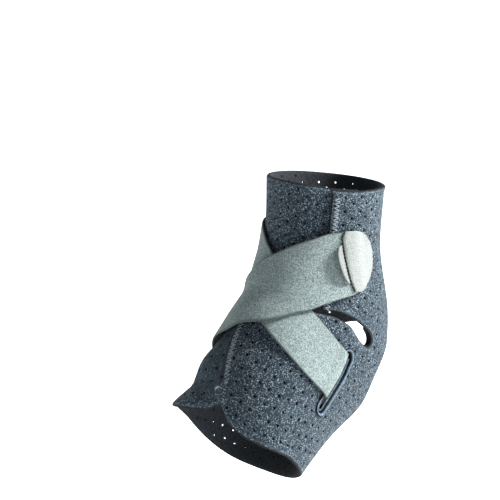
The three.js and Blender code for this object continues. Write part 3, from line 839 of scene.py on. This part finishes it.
def grey(v):
    return (v, v, v)


def scaled(colour, factor):
    return tuple(min(1.0, factor * c) for c in colour)


def blend(tree, kind, share, a, b):
    """Two colours blended; b may be a plain colour."""
    b = b if isinstance(b, bpy.types.NodeSocket) else (*b, 1)
    node = add_node(tree, "ShaderNodeMix", {"data_type": "RGBA", "blend_type": kind}, {0: share, 6: a, 7: b})
    return node.outputs[2]


def maths(tree, operation, a, b=0.0):
    return add_node(tree, "ShaderNodeMath", {"operation": operation}, {0: a, 1: b}).outputs[0]


def bump(tree, shader, height, strength, distance, chain=None):
    """Relief from a height socket, on top of the relief that chain carries."""
    inputs = {"Height": height, "Strength": strength, "Distance": distance}
    if chain is not None:
        inputs["Normal"] = chain
    node = add_node(tree, "ShaderNodeBump", None, inputs)
    tree.links.new(node.outputs["Normal"], shader.inputs["Normal"])
    return node.outputs["Normal"]


def heather_knit():
    """Slate heather jersey: dark and light yarns in small raised loops, dark at its edges where the cut foam
    shows and partly by painted shade, with a painted highlight band inside each rim, painted shade round the
    perforations and beside the outer flap's edge, and painted sheen on the smoother inner front flap.
    """
    colour = colours()
    material, tree, shader = node_material(
        "heather_knit", colour.wrap, 0.88, Sheen_Weight=0.07, Sheen_Roughness=0.4, Specular_IOR_Level=0.25)
    shader.inputs["Sheen Tint"].default_value = (0.8, 0.9, 1.0, 1)
    place = place_socket(tree)
    yarn = noise(tree, place, 1500, 1.0, 0.6)
    grain, cells = grains(tree, place, 2000.0)
    blotch = noise(tree, place, 110, 3.0, 0.6)
    tone = maths(tree, "ADD", maths(tree, "MULTIPLY", yarn, 0.25), maths(tree, "MULTIPLY", grain, 0.75))
    base = ramp(tree, tone, [
        (0.22, scaled(colour.wrap_dark, 1.5)), (0.42, scaled(colour.wrap, 0.68)),
        (0.64, scaled(colour.wrap, 1.12)), (0.76, scaled(colour.wrap, 1.9)),
        (0.85, scaled(colour.wrap_light, 0.88))])
    base = blend(tree, "MULTIPLY", 1.0, base, ramp(tree, blotch, [(0.3, grey(0.94)), (0.7, grey(1.04))]))
    edge = share_socket(tree, "edge")
    edge_band = maths(tree, "ADD", edge, maths(tree, "MULTIPLY", maths(tree, "SUBTRACT", yarn, 0.5), 0.9))
    # A light band just inside each rim: painted highlight of the rounded edge.
    painted_rim_highlight = ramp(tree, edge_band, [(0.2, grey(0.0)), (0.4, grey(0.16)), (0.52, grey(0.0))])
    base = blend(tree, "MIX", painted_rim_highlight, base, colour.wrap_light)
    # Foam dark at the edges, partly painted shade, with the painted shade round the perforations and beside
    # the outer flap's edge.
    dark_rim_and_shade = ramp(tree, edge_band, [(0.52, grey(0.0)), (0.72, grey(0.95))])
    base = blend(tree, "MIX", dark_rim_and_shade, base, colour.foam)
    # Lighter, smoother knit on the inner front flap: partly painted sheen.
    base = blend(tree, "MIX", share_socket(tree, "smooth_and_sheen"), base, scaled(colour.wrap, 1.25))
    tree.links.new(base, shader.inputs["Base Color"])
    first = bump(tree, shader, cells, 0.6, 0.0004)
    first = bump(tree, shader, grain, 0.8, 0.0003, first)
    bump(tree, shader, yarn, 1.0, 0.0008, first)
    return material


def cut_foam():
    """Black cut edge of the sheet with fine cells."""
    colour = colours()
    material, tree, shader = node_material("cut_foam", colour.foam, 0.95, Specular_IOR_Level=0.08)
    place = place_socket(tree)
    cells = add_node(tree, "ShaderNodeTexVoronoi", {"feature": "F1"}, {"Vector": place, "Scale": 2600.0})
    shade = ramp(tree, cells.outputs["Distance"], [
        (0.1, scaled(colour.foam, 0.5)), (0.7, scaled(colour.foam, 1.6))])
    tree.links.new(shade, shader.inputs["Base Color"])
    bump(tree, shader, cells.outputs["Distance"], 0.4, 0.0002)
    return material


def ribbed_elastic():
    """Light elastic: a strong grain of loops over narrow ribs that cross the strap."""
    colour = colours()
    material, tree, shader = node_material(
        "ribbed_elastic", colour.strap, 0.85, Sheen_Weight=0.12, Sheen_Roughness=0.4, Specular_IOR_Level=0.3)
    cloth = add_node(tree, "ShaderNodeUVMap", {"uv_map": "cloth"}).outputs["UV"]
    place = place_socket(tree)
    ribs = add_node(tree, "ShaderNodeTexWave", {"bands_direction": "X", "wave_profile": "SIN"},
                    {"Vector": cloth, "Scale": 2.9, "Distortion": 1.2, "Detail": 2.0, "Detail Scale": 6.0})
    cell, _ = grains(tree, place, 1900.0)
    grain = maths(tree, "ADD", maths(tree, "MULTIPLY", noise(tree, place, 1500, 1.0, 0.6), 0.25),
                  maths(tree, "MULTIPLY", cell, 0.75))
    cloudy = noise(tree, place, 70, 3.0, 0.55)
    tone = maths(tree, "ADD", maths(tree, "MULTIPLY", ribs.outputs["Fac"], 0.17), grain)
    base = ramp(tree, tone, [
        (0.3, scaled(colour.strap, 0.55)), (0.47, scaled(colour.strap, 0.83)),
        (0.63, scaled(colour.strap, 1.03)), (0.83, scaled(colour.strap, 1.55))])
    base = blend(tree, "MULTIPLY", 1.0, base, ramp(tree, cloudy, [(0.35, grey(0.95)), (0.65, grey(1.03))]))
    # Each strap edge is darkened over its last breadth: painted shade along the edges.
    stray = maths(tree, "MULTIPLY", maths(tree, "SUBTRACT", grain, 0.5), 0.8)
    side = maths(tree, "ADD", share_socket(tree, "edge_shade"), stray)
    base = blend(tree, "MIX", ramp(tree, side, [(0.45, grey(0.0)), (0.8, grey(0.8))]), base,
                 scaled(colour.strap, 0.2))
    # Painted shade on the strap's part inside the wrap.
    base = blend(tree, "MIX", share_socket(tree, "slot_shade"), base, scaled(colour.foam, 3.0))
    tree.links.new(base, shader.inputs["Base Color"])
    first = bump(tree, shader, ribs.outputs["Fac"], 0.5, 0.0003)
    bump(tree, shader, grain, 0.9, 0.0005, first)
    return material


def hook_tape(name, shade):
    """Off-white hook tape: rows of tiny hooks, some pressed flat."""
    colour = colours()
    material, tree, shader = node_material(
        name, scaled(colour.tab, shade), 0.7, Sheen_Weight=0.1, Specular_IOR_Level=0.35)
    place = place_socket(tree)
    hooks = add_node(tree, "ShaderNodeTexVoronoi", {"feature": "F1"},
                     {"Vector": place, "Scale": 900.0, "Randomness": 0.8})
    grain = noise(tree, place, 1400, 2.0, 0.8)
    base = ramp(tree, grain, [
        (0.36, scaled(colour.tab, 0.55 * shade)), (0.49, scaled(colour.tab, 0.92 * shade)),
        (0.62, scaled(colour.tab, 1.2 * shade))])
    tree.links.new(base, shader.inputs["Base Color"])
    first = bump(tree, shader, hooks.outputs["Distance"], 0.5, 0.0004)
    bump(tree, shader, grain, 0.7, 0.0012, first)
    return material


def grained(name, base, rough, grain, stops, strength, distance, **inputs):
    """A finish of one fine grain, given by scale, detail and roughness, that sets its tone and its relief."""
    material, tree, shader = node_material(name, base, rough, **inputs)
    height = noise(tree, place_socket(tree), *grain)
    tree.links.new(ramp(tree, height, stops), shader.inputs["Base Color"])
    bump(tree, shader, height, strength, distance)
    return material


def smooth_lining():
    """Inner face: a dark brushed tricot."""
    return grained(
        "smooth_lining", (0.02, 0.023, 0.028), 0.92, (700, 3.0, 0.7),
        [(0.35, (0.011, 0.013, 0.016)), (0.7, (0.036, 0.041, 0.049))], 0.4, 0.0003,
        Sheen_Weight=0.05, Specular_IOR_Level=0.15)


def pressed_lip():
    """Heat-pressed edge of a slot: a satin finish, lighter than the knit; its light tone is partly painted
    highlight.
    """
    wrap = colours().wrap
    # The light stops are partly painted highlight of the pressed ring; the slot ridge shares them.
    return grained(
        "pressed_lip", scaled(wrap, 0.6), 0.55, (900, 3.0, 0.7),
        [(0.38, scaled(wrap, 1.2)), (0.58, scaled(wrap, 4.0)), (0.72, scaled(wrap, 8.0))], 0.6, 0.0005,
        Specular_IOR_Level=0.4, Sheen_Weight=0.1)


def seam_thread():
    """Twisted pale thread."""
    thread = colours().thread
    return grained(
        "seam_thread", thread, 0.7, (2500, 2.0, 0.6),
        [(0.35, scaled(thread, 0.5)), (0.7, scaled(thread, 1.8))], 0.3, 0.0001,
        Sheen_Weight=0.2, Specular_IOR_Level=0.35)


def slit_shadow():
    """Painted shadow of the cut between a hook tab and its grip."""
    return grained(
        "slit_shadow", (0.02, 0.022, 0.02), 0.95, (1500, 2.0, 0.6),
        [(0.4, (0.008, 0.009, 0.008)), (0.7, (0.05, 0.055, 0.05))], 0.3, 0.0001,
        Specular_IOR_Level=0.1)


def settle(piece, node):
    """The piece rides on the part and stands for its frame node if it has one."""
    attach(piece, "root")
    if node:
        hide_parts(node)


# Operators
class ANKLE_OT_wrap(bpy.types.Operator):
    """Wrap: one punched sheet from its flat pattern, with the heel hole, ankle cuts and slots"""

    bl_idname = "ankle.wrap"
    bl_label = "Wrap"

    def execute(self, context):
        size = sizes()
        points, faces, index, shares = wrap_mesh(size)
        piece = new_piece(
            "wrap_cloth", points, faces, [heather_knit(), cut_foam(), smooth_lining()], index, shares=shares)
        settle(piece, "wrap_body")
        return {"FINISHED"}


class ANKLE_OT_slot_lips(bpy.types.Operator):
    """Slot lips: the pressed raised edge round each strap slot"""

    bl_idname = "ankle.slot_lips"
    bl_label = "Slot lips"

    def execute(self, context):
        materials = [pressed_lip(), cut_foam()]
        steps, corners = 120, 16
        bow = np.arange(corners) / corners * 2 * math.pi
        for which, side in SIDES:
            rings = []
            for angle in bow:
                grow = LIP_CLEAR + LIP_WIDTH * (0.5 + 0.5 * math.cos(angle))
                rise = LIP_CLEAR / 2 + (GAP + LIP_HEIGHT) * (0.5 + 0.5 * math.sin(angle))
                a, b = slot_outline(grow, steps)
                row, turn = slot_place(side, a, b)
                rings.append(on_face(row, turn, np.full(steps, rise)))
            points = np.stack(rings, 1)
            faces = outward(points, band(points, loop=True))
            # The lip's outer side takes the black foam finish: painted shade of the groove round the lip.
            groove_shade = [int(math.cos(bow[min(face[0] % corners, face[1] % corners)]) > 0.45) for face in faces]
            piece = new_piece("lip_" + which, points.reshape(-1, 3), faces, materials, groove_shade)
            settle(piece, "slot_rim_" + which)
        return {"FINISHED"}


class ANKLE_OT_anchors(bpy.types.Operator):
    """Anchors: a lining patch behind each slot and the thin welded ridge that shows in it"""

    bl_idname = "ankle.anchors"
    bl_label = "Anchors"

    def execute(self, context):
        size = sizes()
        lining, ridge_finish = smooth_lining(), pressed_lip()
        under = size.wall + 2 * STRAP_LIE + size.strap_sheet
        for which, side in SIDES:
            down, across = rim_shares(26, 26)
            a, b = np.meshgrid(mix(*PATCH_ALONG, down), mix(*PATCH_ACROSS, across), indexing="ij")
            row, turn = slot_place(side, a, b)
            level = ripple(row, turn) * RIPPLE - under
            low = on_face(row, turn, level - PATCH_SHEET)
            high = on_face(row, turn, level)
            points, faces = plate_body(low, high)
            patch = new_piece("anchor_patch_" + which, points, faces, [lining])
            settle(patch, None)

            straight = (SLOT_LENGTH - SLOT_WIDTH) / 2
            bend = np.linspace(0, math.pi, 24)
            a = np.concatenate([np.linspace(-straight, straight, 50), straight + RIDGE_REACH * np.sin(bend)])
            b = np.concatenate([np.full(50, RIDGE_REACH), RIDGE_REACH * np.cos(bend)])
            a = np.append(a, straight - 0.003)
            b = np.append(b, -RIDGE_REACH)
            row, turn = slot_place(side, a, b)
            spine = on_face(row, turn, np.full(len(a), -0.0004))
            up = face_normal(row, turn)
            way = np.gradient(spine, axis=0)
            way /= np.linalg.norm(way, axis=1, keepdims=True)
            beside = np.cross(way, up)
            bow = np.arange(8) / 8 * 2 * math.pi
            tube = spine[:, None] + RIDGE_RADIUS * (
                np.cos(bow)[None, :, None] * beside[:, None] + np.sin(bow)[None, :, None] * up[:, None])
            faces = outward(tube, band(tube))
            piece = new_piece("slot_ridge_" + which, tube.reshape(-1, 3), faces, [ridge_finish])
            settle(piece, None)
        return {"FINISHED"}


class ANKLE_OT_straps(bpy.types.Operator):
    """Straps: two elastic bands out through the slots, crossed over the instep"""

    bl_idname = "ankle.straps"
    bl_label = "Straps"

    def execute(self, context):
        size = sizes()
        material = ribbed_elastic()
        for name, node, stations, side in (
            ("strap_under_elastic", "strap_under", UNDER_STRAP, OUTER),
            ("strap_over_elastic", "strap_over", OVER_STRAP, INNER),
        ):
            points, uv, slot_shade, edge_shade, length, width = strap_points(stations, side, size)
            faces = outward(points, band(points))
            piece = new_piece(
                name, points.reshape(-1, 3), faces, [material], uv=uv.reshape(-1, 2),
                shares={"slot_shade": slot_shade.ravel(), "edge_shade": edge_shade.ravel()})
            settle(piece, node)
        return {"FINISHED"}


class ANKLE_OT_tabs(bpy.types.Operator):
    """Hook tabs: a D of hook tape on each strap end, and the half-moon grip that stands up before it"""

    bl_idname = "ankle.tabs"
    bl_label = "Hook tabs"

    def execute(self, context):
        size = sizes()
        material, grip_material = hook_tape("hook_tape", 1.0), hook_tape("grip_tape", 0.72)
        for which, side, shift in TABS:
            down, across = rim_shares(44, 34)
            row = mix(TAB["row"][0], TAB["row"][-1], down)[:, None]
            scallop = 0.3 * np.sin(row * 19.0) + 0.25 * np.sin(row * 43.0)
            curve = along(TAB, "row", "round", row) + scallop
            turn = mix(along(TAB, "row", "slit", row), curve, across[None])
            row = np.broadcast_to(row, turn.shape)
            height = tab_height(row, turn, size.strap_sheet)
            low = on_face(row, side * (turn + shift), height, 1.0)
            at_slit = 1 - smooth(across / 0.09)[None]
            fill = rim_fill(low, TAB_ROUNDING) * size.tab_sheet * (1 - 0.5 * at_slit)
            high = on_face(row, side * (turn + shift), height + fill, 1.0)
            points, faces = plate_body(low, high)
            piece = new_piece("hook_tab_" + which, points, faces, [material])
            settle(piece, "tab_" + which)

            down, up = rim_shares(36, 14)
            share = -np.cos(down * math.pi) * 0.985
            row = mix(GRIP["top"], GRIP["foot"], (share + 1) / 2)[:, None]
            rise = up[None] * np.sqrt(1 - share[:, None] ** 2) * GRIP_HEIGHT
            row = np.broadcast_to(row, rise.shape)
            slit = along(TAB, "row", "slit", row) - 1
            scale = per_degree(row, side * (slit + shift))

            def level(thick):
                turn = slit - (rise * GRIP["lean"] + thick) / scale
                lift = tab_height(row, slit, size.strap_sheet) + GAP * 0.5 + rise * 0.8 + thick * 0.3
                return on_face(row, side * (turn + shift), lift, 1.0)

            low = level(np.zeros_like(rise))
            high = level(rim_fill(low, GRIP_ROUNDING) * size.tab_sheet)
            points, faces = plate_body(low, high)
            piece = new_piece("grip_half_moon_" + which, points, faces, [grip_material])
            settle(piece, "grip_" + which)
        return {"FINISHED"}


def stitch_tree(material):
    """Geometry Nodes tree: stitches along a line, slanted to and fro, each a little astray."""
    tree = bpy.data.node_groups.new("stitches", "GeometryNodeTree")
    face = tree.interface
    face.new_socket("Geometry", in_out="INPUT", socket_type="NodeSocketGeometry")
    for name in ("Pitch", "Length", "Thread", "Slant", "Stray"):
        face.new_socket(name, in_out="INPUT", socket_type="NodeSocketFloat")
    face.new_socket("Seed", in_out="INPUT", socket_type="NodeSocketInt")
    face.new_socket("Geometry", in_out="OUTPUT", socket_type="NodeSocketGeometry")
    start = tree.nodes.new("NodeGroupInput")
    end = tree.nodes.new("NodeGroupOutput")

    def node(kind, settings=None, inputs=None):
        return add_node(tree, kind, settings, inputs)

    def calc(operation, a, b=0.0):
        return maths(tree, operation, a, b)

    line = node("GeometryNodeMeshToCurve", None, {"Mesh": start.outputs["Geometry"]})
    dots = node("GeometryNodeResampleCurve", {"mode": "LENGTH"}, {"Curve": line.outputs["Curve"]})
    tree.links.new(start.outputs["Pitch"], dots.inputs["Length"])
    out = node("GeometryNodeInputNamedAttribute", {"data_type": "FLOAT_VECTOR"}, {"Name": "out"})
    tangent = node("GeometryNodeInputTangent")
    stand = node("FunctionNodeAlignRotationToVector", {"axis": "Z"}, {"Vector": out.outputs["Attribute"]})
    lie = node("FunctionNodeAlignRotationToVector", {"axis": "X", "pivot_axis": "Z"},
               {"Rotation": stand.outputs["Rotation"], "Vector": tangent.outputs["Tangent"]})
    index = node("GeometryNodeInputIndex")
    parity = calc("MODULO", index.outputs["Index"], 2.0)
    way = calc("SUBTRACT", calc("MULTIPLY", parity, 2.0), 1.0)
    chance = node("FunctionNodeRandomValue", {"data_type": "FLOAT"}, {"Seed": start.outputs["Seed"]})
    astray = calc("MULTIPLY", calc("SUBTRACT", chance.outputs[1], 0.5), start.outputs["Stray"])
    angle = calc("ADD", calc("MULTIPLY", way, start.outputs["Slant"]), astray)
    spin = node("FunctionNodeAxisAngleToRotation", None, {"Axis": (0, 0, 1), "Angle": angle})
    turned = node("FunctionNodeRotateRotation", {"rotation_space": "LOCAL"},
                  {"Rotation": lie.outputs["Rotation"], "Rotate By": spin.outputs["Rotation"]})
    bead = node("GeometryNodeMeshUVSphere", None, {"Segments": 6, "Rings": 6, "Radius": 0.5})
    length = calc("MULTIPLY", start.outputs["Length"], calc("ADD", astray, 1.0))
    size_of = node("ShaderNodeCombineXYZ", None,
                   {"X": length, "Y": start.outputs["Thread"], "Z": start.outputs["Thread"]})
    put = node("GeometryNodeInstanceOnPoints", None, {
        "Points": dots.outputs["Curve"], "Instance": bead.outputs["Mesh"],
        "Rotation": turned.outputs["Rotation"], "Scale": size_of.outputs["Vector"]})
    real = node("GeometryNodeRealizeInstances", None, {"Geometry": put.outputs["Instances"]})
    dress = node("GeometryNodeSetMaterial", None, {"Geometry": real.outputs["Geometry"]})
    dress.inputs["Material"].default_value = material
    tree.links.new(dress.outputs["Geometry"], end.inputs["Geometry"])
    return tree


def seam_line(name, row, turn, height, pull=0.0):
    """A temporary line on the cloth that carries the outward direction of its points."""
    points = on_face(row, turn, height, pull)
    normals = face_normal(row, turn, pull)
    mesh = bpy.data.meshes.new(name)
    mesh.from_pydata([tuple(p) for p in points], [(k, k + 1) for k in range(len(points) - 1)], [])
    layer = mesh.attributes.new("out", "FLOAT_VECTOR", "POINT")
    layer.data.foreach_set("vector", normals.ravel())
    line = bpy.data.objects.new(name, mesh)
    bpy.context.scene.collection.objects.link(line)
    return line


def grown(line, tree, values, name):
    """Runs a Geometry Nodes tree on a line and keeps its result as a plain mesh piece."""
    modifier = line.modifiers.new("grow", "NODES")
    modifier.node_group = tree
    for item in tree.interface.items_tree:
        if item.item_type == "SOCKET" and item.in_out == "INPUT" and item.name in values:
            modifier[item.identifier] = values[item.name]
    graph = bpy.context.evaluated_depsgraph_get()
    mesh = bpy.data.meshes.new_from_object(line.evaluated_get(graph), depsgraph=graph)
    bpy.data.objects.remove(line)
    mesh.name = name
    mesh.polygons.foreach_set("use_smooth", np.ones(len(mesh.polygons), bool))
    piece = bpy.data.objects.new(name, mesh)
    bpy.context.scene.collection.objects.link(piece)
    return piece


class ANKLE_OT_stitching(bpy.types.Operator):
    """Stitching: zigzag seams along the outer flap's front edge, and a row of dark beads, the painted shadow
    of the cut before each hook tab
    """

    bl_idname = "ankle.stitching"
    bl_label = "Stitching"

    def execute(self, context):
        size = sizes()
        tree = stitch_tree(seam_thread())
        inset = size.stitch_width / 2 + 0.0016
        values = {
            "Pitch": size.stitch_pitch, "Length": math.hypot(size.stitch_width, size.stitch_pitch),
            "Thread": size.thread, "Slant": math.atan2(size.stitch_width, size.stitch_pitch),
            "Stray": 0.22, "Seed": size.stitch_seed}
        fine = dict(values, Thread=0.72 * size.thread)
        tack = dict(fine, Pitch=0.0004, Slant=math.pi / 2, Length=0.0023, Stray=0.1)
        for name, top, foot, values, inset in (
            ("seam_shaft", 0.62, 5.45, values, inset), ("seam_foot", 6.7, 9.95, fine, inset),
            ("tack_foot", 10.1, 10.2, tack, 0.0018),
        ):
            row = np.linspace(top, foot, 160)
            edge = along(OUTER_FLAP_EDGE, "row", "turn", row)
            turn = edge - inset / per_degree(row, edge)
            line = seam_line(name + "_line", row, turn, wrap_height(row, turn, size.wall) + 0.00005)
            settle(grown(line, tree, values, name), None)

        # Dark beads along the cut before each tab: painted shadow of the cut.
        tree = stitch_tree(slit_shadow())
        values = {"Pitch": 0.0024, "Length": 0.0025, "Thread": 0.0014, "Slant": 0.0, "Stray": 0.35,
                  "Seed": size.stitch_seed + 1}
        for which, side, shift in TABS:
            row = np.linspace(TAB["row"][0] + 0.08, TAB["row"][-1] - 0.06, 60)
            slit = along(TAB, "row", "slit", row)
            turn = slit - 0.0003 / per_degree(row, side * (slit + shift))
            lift = tab_height(row, slit, size.strap_sheet) + 0.0006
            name = "slit_" + which
            line = seam_line(name + "_line", row, side * (turn + shift), lift, 1.0)
            settle(grown(line, tree, values, name), None)
        return {"FINISHED"}


# Stage: the camera stands where the picture was taken from, the light comes from its upper right.
CAMERA_TURN = math.radians(40)
CAMERA_RISE = math.radians(12)
CAMERA_ROLL = math.radians(3.5)
CAMERA_DISTANCE = 1.150
PIXELS_PER_MM = 1.36  # at the part's origin
PICTURE = 500  # pixels
ORIGIN_AT = (320, 308)  # where the part's origin shows
SENSOR = 36.0
FLOOR_BELOW = 0.035  # under the part's lowest point
FLOOR_NEAR, FLOOR_FAR = 4.0, 1.6  # flat floor towards the camera and away from it
BACKDROP_BEND, BACKDROP_HEIGHT = 0.8, 2.0
FLOOR_GLOW = 0.8
SKY_COLOUR, SKY_STRENGTH = (0.84, 0.96, 1.0), 0.22
LAMPS = (  # name, way from the part along the camera's right, up and back, distance, width, power, tint
    ("key", (1.0, 0.8, 0.22), 1.1, 0.34, 39, (1.0, 0.99, 0.97)),
    ("fill", (-0.2, 0.1, 0.9), 1.5, 1.0, 2, (0.93, 0.97, 1.0)),
)


def camera_axes():
    """The camera's right, up and back."""
    back = Vector((
        math.sin(CAMERA_TURN) * math.cos(CAMERA_RISE),
        -math.cos(CAMERA_TURN) * math.cos(CAMERA_RISE),
        math.sin(CAMERA_RISE)))
    right = Vector((math.cos(CAMERA_TURN), math.sin(CAMERA_TURN), 0))
    up = back.cross(right)
    cosine, sine = math.cos(CAMERA_ROLL), math.sin(CAMERA_ROLL)
    return right * cosine + up * sine, up * cosine - right * sine, back


class ANKLE_OT_stage(bpy.types.Operator):
    """Stage: pale floor, soft studio light and the camera of the picture"""

    bl_idname = "ankle.stage"
    bl_label = "Stage"

    def execute(self, context):
        scene = context.scene
        right, up, back = camera_axes()
        pixels = PIXELS_PER_MM * 1000 * CAMERA_DISTANCE
        place = back * CAMERA_DISTANCE
        # Turned a little, not shifted, so that the origin shows at its place in the picture.
        aside = math.atan((ORIGIN_AT[0] - PICTURE / 2) / pixels)
        above = math.atan((ORIGIN_AT[1] - PICTURE / 2) / pixels)
        turn = Matrix.Rotation(aside, 4, up) @ Matrix.Rotation(above, 4, right)
        right, up, back = (turn @ axis for axis in (right, up, back))
        data = bpy.data.cameras.new("camera")
        data.sensor_width = SENSOR
        data.lens = pixels / PICTURE * SENSOR
        data.clip_end = 20
        camera = bpy.data.objects.new("camera", data)
        basis = Matrix((right, up, back)).transposed().to_4x4()
        camera.matrix_world = Matrix.Translation(place) @ basis
        scene.collection.objects.link(camera)
        scene.camera = camera

        away = Vector((-back.x, -back.y, 0)).normalized()
        side = Vector((-away.y, away.x, 0))
        rows = [(-FLOOR_NEAR, 0.0)]
        for angle in np.linspace(0, math.pi / 2, 15):
            rows.append((FLOOR_FAR + BACKDROP_BEND * math.sin(angle), BACKDROP_BEND * (1 - math.cos(angle))))
        rows.append((rows[-1][0], rows[-1][1] + BACKDROP_HEIGHT))
        low = Vector((0, 0, CAD_BOX[0][2] - FLOOR_BELOW))
        points = [tuple(low + away * y + side * x + Vector((0, 0, z)))
                  for y, z in rows for x in (-1.5 * FLOOR_NEAR, 1.5 * FLOOR_NEAR)]
        faces = [(2 * k, 2 * k + 1, 2 * k + 3, 2 * k + 2) for k in range(len(rows) - 1)]
        mesh = bpy.data.meshes.new("floor")
        mesh.from_pydata(points, [], faces)
        mesh.polygons.foreach_set("use_smooth", np.ones(len(mesh.polygons), bool))
        floor = bpy.data.objects.new("floor", mesh)
        material, _, _ = node_material("studio_floor", colours().floor, 0.9, Emission_Strength=FLOOR_GLOW)
        mesh.materials.append(material)
        scene.collection.objects.link(floor)

        for name, share, distance, width, power, colour in LAMPS:
            way = right * share[0] + up * share[1] + back * share[2]
            light = bpy.data.lights.new(name, "AREA")
            light.shape = "DISK"
            light.size = width
            light.energy = power
            light.color = colour
            lamp = bpy.data.objects.new(name, light)
            aimed = way.to_track_quat("Z", "Y").to_matrix().to_4x4()
            lamp.matrix_world = Matrix.Translation(way.normalized() * distance) @ aimed
            scene.collection.objects.link(lamp)

        world = bpy.data.worlds.new("studio")
        world.use_nodes = True
        background = world.node_tree.nodes["Background"]
        background.inputs["Color"].default_value = (*SKY_COLOUR, 1)
        background.inputs["Strength"].default_value = SKY_STRENGTH
        scene.world = world
        scene.view_settings.view_transform = "Standard"
        return {"FINISHED"}


class ANKLE_PT_panel(bpy.types.Panel):
    """Lists the pieces of the ankle support"""

    bl_idname = "ANKLE_PT_panel"
    bl_label = "Ankle Support"
    bl_space_type = "VIEW_3D"
    bl_region_type = "UI"
    bl_category = "Ankle Support"

    def draw(self, context):
        layout = self.layout
        for operator in OPERATORS:
            layout.operator(operator.bl_idname)
        for group in (context.scene.ankle_support_sizes, context.scene.ankle_support_colours):
            box = layout.box()
            for name in group.bl_rna.properties.keys():
                if name not in ("rna_type", "name"):
                    box.prop(group, name)


OPERATORS = (
    ANKLE_OT_wrap, ANKLE_OT_slot_lips, ANKLE_OT_anchors, ANKLE_OT_straps, ANKLE_OT_tabs, ANKLE_OT_stitching,
    ANKLE_OT_stage)
CLASSES = (AnkleSupportSizes, AnkleSupportColours, *OPERATORS, ANKLE_PT_panel)


def register():
    for cls in CLASSES:
        bpy.utils.register_class(cls)
    bpy.types.Scene.ankle_support_sizes = PointerProperty(type=AnkleSupportSizes)
    bpy.types.Scene.ankle_support_colours = PointerProperty(type=AnkleSupportColours)


def unregister():
    del bpy.types.Scene.ankle_support_sizes
    del bpy.types.Scene.ankle_support_colours
    for cls in reversed(CLASSES):
        bpy.utils.unregister_class(cls)


def main():
    register()
    bpy.ops.ankle.wrap()
    bpy.ops.ankle.slot_lips()
    bpy.ops.ankle.anchors()
    bpy.ops.ankle.straps()
    bpy.ops.ankle.tabs()
    bpy.ops.ankle.stitching()
    bpy.ops.ankle.stage()


if __name__ == "__main__":
    main()
